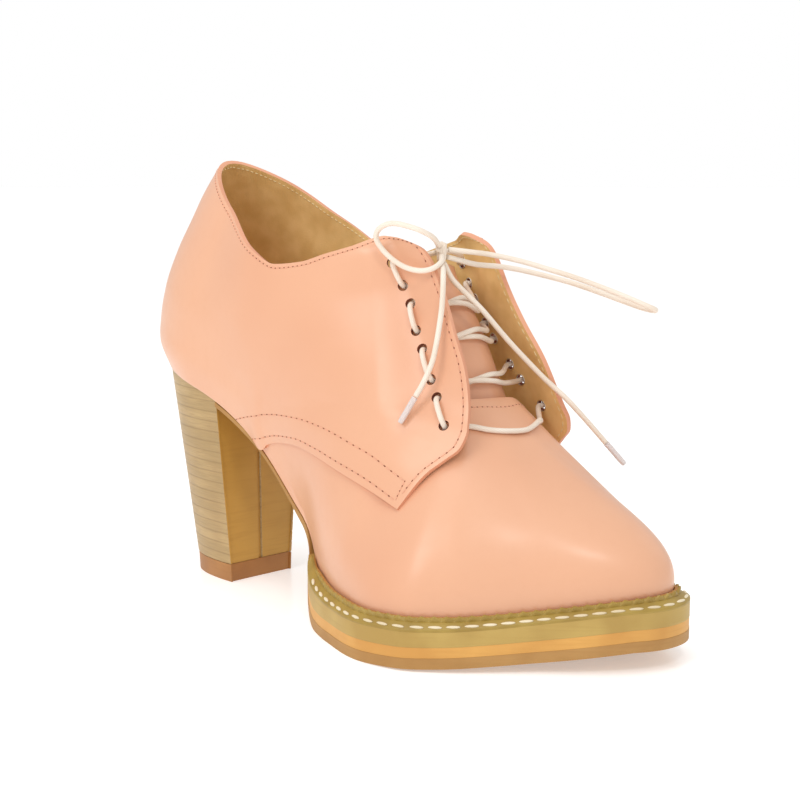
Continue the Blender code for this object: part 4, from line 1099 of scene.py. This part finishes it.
def tongue_point(across, up, lift=0.0):
    """Place over the tongue's front face; across runs from -1 at its inner edge to 1 at its outer edge."""
    run = tongue_line(min(up + 0.01, 1.0)) - tongue_line(max(up - 0.01, 0.0))
    run = run / np.linalg.norm(run)
    fall = table_value(TONGUE, "crown", "up", up) * HALF_WIDTH
    half = table_value(TONGUE, "half_width", "up", up) * HALF_WIDTH
    y, z = tongue_line(up) + np.array((run[1], -run[0])) * (lift - fall * across**2)
    return Vector((TONGUE_MIDDLE * HALF_WIDTH + half * across, y, z))


tongue_form = lay_grid(36, 60, lambda u, v: tongue_point(u * 2.0 - 1.0, v))
tongue_front = (tongue_point(0.0, 0.5) - REST_POINT, Vector((0.0, 1.0, 0.3)))
tongue = link_form(
    "tongue_plate", leather_wall(tongue_form, "tongue", -1.0, tongue_front, TONGUE_THICKNESS),
    pink_calf, napped_lining, cut_edge)
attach(tongue, "root")
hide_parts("tongue")

# Stitching of the upper
# Peach thread runs just inside the edges of the quarters and the vamp's throat, and in a second row above the
# quarters' lower edge. Each stitch starts at a needle hole, drawn as a small red-brown dot of painted shade.
# Straw thread shows on the lining.
STITCH_PITCH = 0.0034
COLLAR_PITCH = 0.0020
FACING_PITCH = 0.0030
TACK_PITCH = 0.0020
THROAT_PITCH = 0.0021
THROAT_SHARE = 0.968
THROAT_REACH = 0.26
STITCH_SHARE = 0.74
LINING_SHARE = 0.80
THREAD = 0.00022
NEEDLE_SHARE = 0.17
NEEDLE_SHADE_DOT = (0.00027, 0.00008)
EDGE_MARGIN = 0.0019
FACING_MARGIN = 0.0021
EDGE_ROW = (
    (0.391, 0.013), (0.403, 0.038), (0.416, 0.056), (0.429, 0.055), (0.443, 0.042), (0.520, 0.040),
    (0.600, 0.038), (0.720, 0.034), (0.860, 0.030), (0.930, 0.022), (0.983, 0.017),
)
SECOND_ROW = (
    (0.339, 0.015), (0.358, 0.054), (0.375, 0.087), (0.389, 0.121), (0.401, 0.150), (0.411, 0.173),
    (0.424, 0.186), (0.441, 0.170), (0.509, 0.165), (0.605, 0.154), (0.690, 0.145), (0.774, 0.132),
    (0.850, 0.112), (0.925, 0.090), (0.974, 0.078),
)
TIP_ROW = ((0.974, 0.078), (0.978, 0.046), (0.983, 0.017))
stitch_form, needle_shade_form, lining_form = bmesh.new(), bmesh.new(), bmesh.new()


def add_bead(form, place, frame_of, size):
    bmesh.ops.create_uvsphere(
        form, u_segments=6, v_segments=5, radius=1.0,
        matrix=Matrix.Translation(place) @ frame_of @ Matrix.Diagonal((*size, 1.0)))


def sew(row, pitch=STITCH_PITCH, inside=False):
    """Stitches at a steady pitch along a row of places and surface normals."""
    threads, shade_dips = bmesh.new(), bmesh.new()
    runs = [0.0]
    for (start, _), (end, _) in zip(row, row[1:]):
        runs.append(runs[-1] + (end - start).length)
    count = max(1, round(runs[-1] / pitch))
    nodes = []
    for k in range(count + 1):
        run = runs[-1] * k / count
        nodes.append([
            Vector([float(np.interp(run, runs, [entry[part][axis] for entry in row])) for axis in range(3)])
            for part in range(2)])
    for (start, normal), (end, after) in zip(nodes, nodes[1:]):
        along, up = (end - start).normalized(), (normal + after).normalized()
        across = up.cross(along).normalized()
        frame_of = Matrix((along, across, along.cross(across))).transposed().to_4x4()
        middle = (start + end) / 2.0 + up * THREAD * 0.1
        half = (end - start).length * (LINING_SHARE if inside else STITCH_SHARE) / 2.0
        add_bead(threads, middle - REST_POINT, frame_of, (half, THREAD, THREAD))
        # Each needle hole gets a small dark dot of painted shade on the outer face.
        if not inside:
            add_bead(shade_dips, start - REST_POINT, frame_of, (pitch * NEEDLE_SHARE, *NEEDLE_SHADE_DOT))
    for part, whole in ((threads, lining_form if inside else stitch_form), (shade_dips, needle_shade_form)):
        patch = bpy.data.meshes.new("stitch_row")
        part.to_mesh(patch)
        part.free()
        whole.from_mesh(patch)
        bpy.data.meshes.remove(patch)


def edge_share(side, along, up, toward, distance):
    """Share of a quarter that a distance covers, from a place on its edge and towards another share."""
    step = 0.02
    other = (along + toward[0] * step, up + toward[1] * step)
    return distance * step / (quarter_point(side, *other) - quarter_point(side, along, up)).length


def quarter_row(side, shares, rise):
    row = []
    for along, up in (rounded(*share) for share in shares):
        normal = quarter_normal(side, along, up)
        place = quarter_point(side, along, up) + normal * (rise + band_lift(along, up))
        row.append((place, normal if rise > 0.0 else -normal))
    return row


def edge_shares(side):
    """Lines just inside a quarter's topline, from the back seam, and down its facing to the front tip."""
    collar, facing = [], []
    for k in range(80):
        along = k / 80
        limit = 1.0 - edge_share(side, 1.0, 0.97, (-1, 0), FACING_MARGIN)
        if along < limit - 0.01:
            collar.append((along, 1.0 - edge_share(side, along, 1.0, (0, -1), EDGE_MARGIN)))
    top = collar[-1][1]
    for k in range(60):
        up = top - (top - 0.04) * k / 59
        facing.append((1.0 - edge_share(side, 1.0, up, (-1, 0), FACING_MARGIN), up))
    return collar + facing[:1], facing


def drawn_shares(row):
    """Smooth line through a row's own places, given as shares along and up the quarter."""
    alongs, ups = zip(*row)
    steps = np.linspace(alongs[0], alongs[-1], 90).tolist()
    return [(along, curve_value(alongs, ups, along)) for along in steps]


for side in (1, -1):
    for rim, pitch in zip(edge_shares(side), (COLLAR_PITCH, FACING_PITCH)):
        sew(quarter_row(side, rim, LEATHER / 2.0), pitch)
        sew(quarter_row(side, rim, -LEATHER / 2.0), pitch, inside=True)
    for row in (EDGE_ROW, SECOND_ROW):
        sew(quarter_row(side, drawn_shares(row), LEATHER / 2.0))
    sew(quarter_row(side, drawn_shares(TIP_ROW), LEATHER / 2.0), TACK_PITCH)

throat_row = []
for k in range(-70, 71):
    side, station = (1 if k < 0 else -1), 1.0 - THROAT_REACH * abs(k) / 70
    point = vamp_point(side, station, THROAT_SHARE)
    across = vamp_point(side, max(station - 0.01, VAMP_START), THROAT_SHARE) - point
    upward = vamp_point(side, station, 0.95) - point
    normal = across.cross(upward).normalized()
    throat_row.append((point, normal if normal.y > 0.0 else -normal))
sew(throat_row, THROAT_PITCH)

peach_thread = toned_material("peach_thread", (0.80, 0.42, 0.27), (0.72, 0.35, 0.22), 0.6, 4000.0, 0.5)
stitching = link_form("upper_stitching", stitch_form, peach_thread)
needle_shade_dots = link_form("upper_needle_shade_dots", needle_shade_form, painted_hole_shade)
lining_thread = toned_material(
    "straw_lining_thread", (0.86, 0.70, 0.40), (0.74, 0.56, 0.28), 0.6, 4000.0, 0.5)
lining_stitching = link_form("lining_stitching", lining_form, lining_thread)
for piece in (stitching, needle_shade_dots, lining_stitching):
    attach(piece, "root")

# Blind eyelets
# Each lace hole is backed by a small nickel ring that is clenched on the lining side, so it shows only from
# inside.
EYELET_RADIUS = 0.0021
EYELET_WIRE = 0.00024
eyelet_form = bmesh.new()


def add_ring(form, place, tilt, radius, wire):
    """Ring spun from a small round section."""
    section = bmesh.ops.create_circle(form, segments=8, radius=wire)["verts"]
    bmesh.ops.rotate(form, verts=section, cent=(0, 0, 0), matrix=Matrix.Rotation(math.pi / 2.0, 3, "X"))
    bmesh.ops.translate(form, verts=section, vec=(radius, 0.0, 0.0))
    edges = list({edge for vert in section for edge in vert.link_edges})
    before = set(form.verts) - set(section)
    bmesh.ops.spin(
        form, geom=section + edges, cent=(0, 0, 0), axis=(0, 0, 1), angle=2.0 * math.pi, steps=20,
        use_merge=True)
    ring = [vert for vert in form.verts if vert not in before]
    bmesh.ops.transform(form, matrix=Matrix.Translation(place) @ tilt, verts=ring)


for side in (1, -1):
    for index in range(len(HOLES["up"])):
        point, normal = hole_place(side, index)
        tilt = Vector((0.0, 0.0, 1.0)).rotation_difference(normal).to_matrix().to_4x4()
        add_ring(eyelet_form, point - normal * LEATHER / 2.0 - REST_POINT, tilt, EYELET_RADIUS, EYELET_WIRE)
bmesh.ops.recalc_face_normals(eyelet_form, faces=eyelet_form.faces)
nickel = toned_material(
    "nickel_eyelets", (0.78, 0.75, 0.68), (0.66, 0.62, 0.54), 0.28, 1500.0, 0.15, Metallic=1.0)
eyelets = link_form("blind_eyelets", eyelet_form, nickel)
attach(eyelets, "root")

# Lace
# One round waxed cotton cord, about 1.9 mm thick, is laced from the bottom holes up and ties in a bow.
# It is braided over a core, so its surface has a fine diagonal weave.
LACE_RADIUS = 0.00095
LACE_CLEARANCE = 0.0006
BRAID_STRANDS = 8
BRAID_PITCH = 0.0016
LACE_SIDES = 14
LACED_SPACING = 0.0007
CROSSINGS = ((1, 2, 0.795), (3, 4, 0.600), (5, 6, 0.330))
BAR_ROUTE = (
    (1, 0.82, 0.880), (1, 0.88, 0.865), (1, 0.94, 0.865), (1, 1.00, 0.875), (-1, 0.90, 0.880),
    (-1, 0.80, 0.880),
)
TOP_STRAND = (
    (0.0105, 0.1390, 0.1295), (0.0060, 0.1451, 0.1315), (-0.0050, 0.1420, 0.1315), (-0.0180, 0.1355, 0.1290),
)


def smooth_route(points, spacing):
    """Points a steady distance apart on a smooth curve through the route's own points."""
    route = [Vector(point) for point in points]
    ends = [route[0] * 2.0 - route[1], *route, route[-1] * 2.0 - route[-2]]
    fine = []
    for k in range(1, len(ends) - 2):
        before, start, end, after = ends[k - 1:k + 3]
        for step in range(12):
            t = step / 12
            fine.append(0.5 * (
                2.0 * start + (end - before) * t + (2.0 * before - 5.0 * start + 4.0 * end - after) * t**2
                + (3.0 * start - before - 3.0 * end + after) * t**3))
    fine.append(route[-1])
    run = [0.0]
    for start, end in zip(fine, fine[1:]):
        run.append(run[-1] + (end - start).length)
    count = max(3, round(run[-1] / spacing) + 1)
    places = np.linspace(0.0, run[-1], count)
    return [
        Vector([np.interp(place, run, [point[axis] for point in fine]) for axis in range(3)])
        for place in places]


def lay_tube(points, radius, sides=LACE_SIDES):
    """Closed tube along a route; radius may be a function of the share of its length."""
    size = radius if callable(radius) else (lambda share: radius)
    ways, across = [], []
    for k, point in enumerate(points):
        way = points[min(k + 1, len(points) - 1)] - points[max(k - 1, 0)]
        ways.append(way.normalized())
    hint = Vector((0.0, 0.0, 1.0)) if abs(ways[0].z) < 0.8 else Vector((1.0, 0.0, 0.0))
    normal = ways[0].cross(hint).normalized()
    for way in ways:
        normal = (normal - way * normal.dot(way)).normalized()
        across.append((normal.copy(), way.cross(normal)))
    last = len(points) - 1

    def place(u, v):
        index = round(v * last)
        turn = 2.0 * math.pi * u
        first, second = across[index]
        reach = size(index / last)
        return points[index] + (first * math.cos(turn) + second * math.sin(turn)) * reach

    form = lay_grid(sides, last, place)
    layer = form.loops.layers.uv.active
    length = sum((b - a).length for a, b in zip(points, points[1:]))
    for face in form.faces:
        for loop in face.loops:
            loop[layer].uv.x *= BRAID_STRANDS
            loop[layer].uv.y *= length / BRAID_PITCH
    return close_form(form), length


def cord_material():
    """Braided cord: two sets of strands cross at a slant, read from the tube's own map."""
    made = toned_material(
        "waxed_cream_cord", (0.88, 0.78, 0.665), (0.82, 0.70, 0.575), 0.52, 3500.0, 0.4, 0.00004, 90.0)
    nodes, links = made.node_tree.nodes, made.node_tree.links
    place, parts = nodes.new("ShaderNodeTexCoord"), nodes.new("ShaderNodeSeparateXYZ")
    links.new(place.outputs["UV"], parts.inputs["Vector"])
    slants = [
        reckon(made, operation, parts.outputs["X"], parts.outputs["Y"]) for operation in ("ADD", "SUBTRACT")]
    weave = reckon(made, "MULTIPLY", *(reckon(made, "PINGPONG", slant, 0.5) for slant in slants))
    # The gaps between the crossing strands are darkened as painted shade.
    tint_by(made, spread(made, weave, 0.0, 0.06, 0.30, 0.0), (0.62, 0.47, 0.36), "braid_gap_shade")
    braid = nodes.new("ShaderNodeBump")
    braid.inputs["Strength"].default_value = 0.5
    braid.inputs["Distance"].default_value = 0.00020
    links.new(weave, braid.inputs["Height"])
    links.new(nodes["relief"].outputs["Normal"], braid.inputs["Normal"])
    links.new(braid.outputs["Normal"], nodes["Principled BSDF"].inputs["Normal"])
    return made


cream_cord = cord_material()


def hole_mouth(side, index, rise):
    """Point on a hole's axis; rise is the distance outwards from the middle of the leather."""
    point, normal = hole_place(side, index)
    return point + normal * rise


INSIDE = -(LEATHER / 2.0 + LACE_RADIUS + LACE_CLEARANCE)


def outside_points(side, upper_hole, downwards):
    """Lace out through one hole and back in through the next."""
    over = LEATHER / 2.0 + LACE_RADIUS + LACE_CLEARANCE
    (high, high_normal), (low, low_normal) = hole_place(side, upper_hole), hole_place(side, upper_hole + 1)
    middle, normal = (high + low) / 2.0, (high_normal + low_normal).normalized()
    points = [
        high,
        high.lerp(low, 0.16) + high_normal * (over * 0.9),
        middle + normal * (over * 1.15),
        high.lerp(low, 0.84) + low_normal * (over * 0.9),
        low,
    ]
    return points if downwards else list(reversed(points))


def crossing_points(number, side, downwards):
    """Lace over the tongue, from the upper hole on one side to the lower hole on the other."""
    upper_hole, lower_hole, up = CROSSINGS[number]
    over = 1.0 if (side > 0) == (number % 2 == 0) else 0.0
    lift = LACE_RADIUS + 1.5 * LACE_CLEARANCE
    route = [(0.75, 0.010, 0.5), (0.45, 0.0, 1.0), (0.0, -0.020, 0.3), (-0.55, -0.034, 0.0)]
    points = [
        tongue_point(across, up + shift * side, lift + over * on_top * 2.0 * LACE_RADIUS)
        for across, shift, on_top in (route if side > 0 else reversed(route))]
    points = [hole_mouth(side, upper_hole, INSIDE), *points, hole_mouth(-side, lower_hole, INSIDE)]
    return points if downwards else list(reversed(points))


def bar_points():
    points = [hole_mouth(1, 7, INSIDE)]
    for side, station, share in BAR_ROUTE:
        point = vamp_point(side, station, share)
        across = vamp_point(side, station - 0.01, share) - point
        upward = vamp_point(side, station, share - 0.01) - point
        away = across.cross(upward).normalized()
        if away.z < 0.0:
            away.negate()
        points.append(point + away * (LACE_RADIUS + 0.3 * LACE_CLEARANCE))
    return points + [hole_mouth(-1, 7, INSIDE)]


def run_down(side):
    """Lace from a top hole to the bottom, changing sides at each crossing."""
    points = [hole_mouth(side, 0, INSIDE)]
    for number in range(4):
        points += outside_points(side, 2 * number, True)
        if number < 3:
            points += crossing_points(number, side, True)
            side = -side
    return points


laced_route = [Vector(place) for place in TOP_STRAND[1:]] + run_down(-1) + bar_points()
laced_route += list(reversed(run_down(1))) + [Vector(place) for place in TOP_STRAND[:2]]
laced_form, _ = lay_tube(smooth_route(laced_route, LACED_SPACING), LACE_RADIUS)
laced = link_form("laced_cord", laced_form, cream_cord)
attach(laced, "root")
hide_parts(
    "lace_crossing_1", "lace_crossing_2", "lace_crossing_3", "lace_bar", "lace_top", "lace_outer_1",
    "lace_outer_2", "lace_outer_3", "lace_outer_4", "lace_inner_1", "lace_inner_2", "lace_inner_3",
    "lace_inner_4")

# Knot
# The bow's knot is two turns of the lace drawn tight round the roots of both loops.
# It stands upright over the throat, just above the top holes.
KNOT_PLACE = (0.0070, 0.1488, 0.1319)
KNOT_REACH = (0.00130, 0.00280)
KNOT_WIDTH = 0.0022
KNOT_TURNS = 2.2
knot_axis = Vector((-math.cos(VIEW_AZIMUTH), math.sin(VIEW_AZIMUTH), 0.0))
knot_front = Vector((math.sin(VIEW_AZIMUTH), math.cos(VIEW_AZIMUTH), 0.0))
knot_route = []
for k in range(73):
    share = k / 72
    turn = 2.0 * math.pi * KNOT_TURNS * share
    knot_route.append(
        Vector(KNOT_PLACE) + knot_axis * KNOT_WIDTH * (share - 0.5)
        + knot_front * KNOT_REACH[0] * math.cos(turn) + Vector((0.0, 0.0, KNOT_REACH[1] * math.sin(turn))))
knot_form, _ = lay_tube(knot_route, LACE_RADIUS)
knot = link_form("bow_knot", knot_form, cream_cord)
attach(knot, "root")
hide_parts("lace_knot")

# Loops, ends and tips
# Two loops and two loose ends of the lace leave the knot. Each end is pinched in a clear plastic tip.
# They are free cords, laid along the routes of the part's own solids.
AGLET_RADIUS = 0.0012
AGLET_LENGTH = 0.0100
FREE_SPACING = 0.0008
LOOP_OUTER = (
    (0.0090, 0.1497, 0.1341), (0.0136, 0.1512, 0.1372), (0.0185, 0.1499, 0.1397), (0.0210, 0.1459, 0.1412),
    (0.0225, 0.1410, 0.1420), (0.0230, 0.1371, 0.1413), (0.0230, 0.1337, 0.1393), (0.0225, 0.1325, 0.1363),
    (0.0215, 0.1348, 0.1326), (0.0200, 0.1385, 0.1292), (0.0190, 0.1437, 0.1268), (0.0183, 0.1497, 0.1260),
    (0.0162, 0.1534, 0.1268), (0.0122, 0.1536, 0.1288), (0.0087, 0.1507, 0.1308),
)
LOOP_INNER = (
    (0.0050, 0.1504, 0.1328), (-0.0010, 0.1551, 0.1319), (-0.0080, 0.1588, 0.1308), (-0.0155, 0.1656, 0.1286),
    (-0.0215, 0.1724, 0.1260), (-0.0270, 0.1796, 0.1233), (-0.0320, 0.1862, 0.1204), (-0.0365, 0.1955, 0.1167),
    (-0.0395, 0.2019, 0.1139), (-0.0425, 0.2040, 0.1123), (-0.0455, 0.2010, 0.1116), (-0.0458, 0.1956, 0.1123),
    (-0.0430, 0.1885, 0.1147), (-0.0390, 0.1827, 0.1172), (-0.0340, 0.1741, 0.1204), (-0.0285, 0.1667, 0.1228),
    (-0.0215, 0.1605, 0.1250), (-0.0150, 0.1566, 0.1263), (-0.0065, 0.1525, 0.1273), (0.0049, 0.1497, 0.1302),
)
END_OUTER = (
    (0.0083, 0.1499, 0.1282), (0.0125, 0.1549, 0.1265), (0.0157, 0.1580, 0.1235), (0.0172, 0.1592, 0.1180),
    (0.0180, 0.1594, 0.1127), (0.0193, 0.1596, 0.1072), (0.0214, 0.1604, 0.1021), (0.0237, 0.1609, 0.0967),
    (0.0260, 0.1605, 0.0918), (0.0277, 0.1594, 0.0878), (0.0292, 0.1581, 0.0844),
)
END_INNER = (
    (0.0057, 0.1490, 0.1281), (0.0063, 0.1532, 0.1231), (0.0045, 0.1563, 0.1193), (-0.0015, 0.1606, 0.1120),
    (-0.0115, 0.1646, 0.1004), (-0.0210, 0.1714, 0.0883), (-0.0260, 0.1783, 0.0806), (-0.0310, 0.1834, 0.0730),
    (-0.0370, 0.1883, 0.0642),
)
clear_tip = toned_material(
    "clear_plastic_tip", (0.90, 0.83, 0.80), (0.84, 0.74, 0.71), 0.16, 900.0, 0.1,
    Transmission_Weight=0.35, Coat_Weight=0.5)


def free_cord(name, route, node, tip=None, tip_node=None):
    """Free stretch of the lace, with its clear tip where it ends."""
    points = smooth_route(route, FREE_SPACING)
    form, length = lay_tube(points, LACE_RADIUS)
    cord = link_form(name, form, cream_cord)
    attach(cord, "root")
    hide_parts(node)
    if tip:
        end = Vector(route[-1])
        along = (end - Vector(route[-2])).normalized()
        sleeve = [end + along * (SEAM_GAP + AGLET_LENGTH * k / 24) for k in range(25)]

        def narrowed(share):
            pinch = 1.0 - 0.12 * ease(share, 0.0, 0.06) - 0.10 * ease(share, 0.82, 1.0)
            return AGLET_RADIUS * pinch * (0.90 + 0.10 * min(1.0, share / 0.04, (1.0 - share) / 0.04))

        sleeve_form, _ = lay_tube(sleeve, narrowed)
        sleeve_piece = link_form(tip, sleeve_form, clear_tip)
        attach(sleeve_piece, "root")
        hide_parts(tip_node)


free_cord("bow_loop_outer", LOOP_OUTER, "lace_loop_outer")
free_cord("bow_loop_inner", LOOP_INNER, "lace_loop_inner")
free_cord("bow_end_outer", END_OUTER, "lace_end_outer", "clear_tip_outer", "aglet_outer")
free_cord("bow_end_inner", END_INNER, "lace_end_inner", "clear_tip_inner", "aglet_inner")
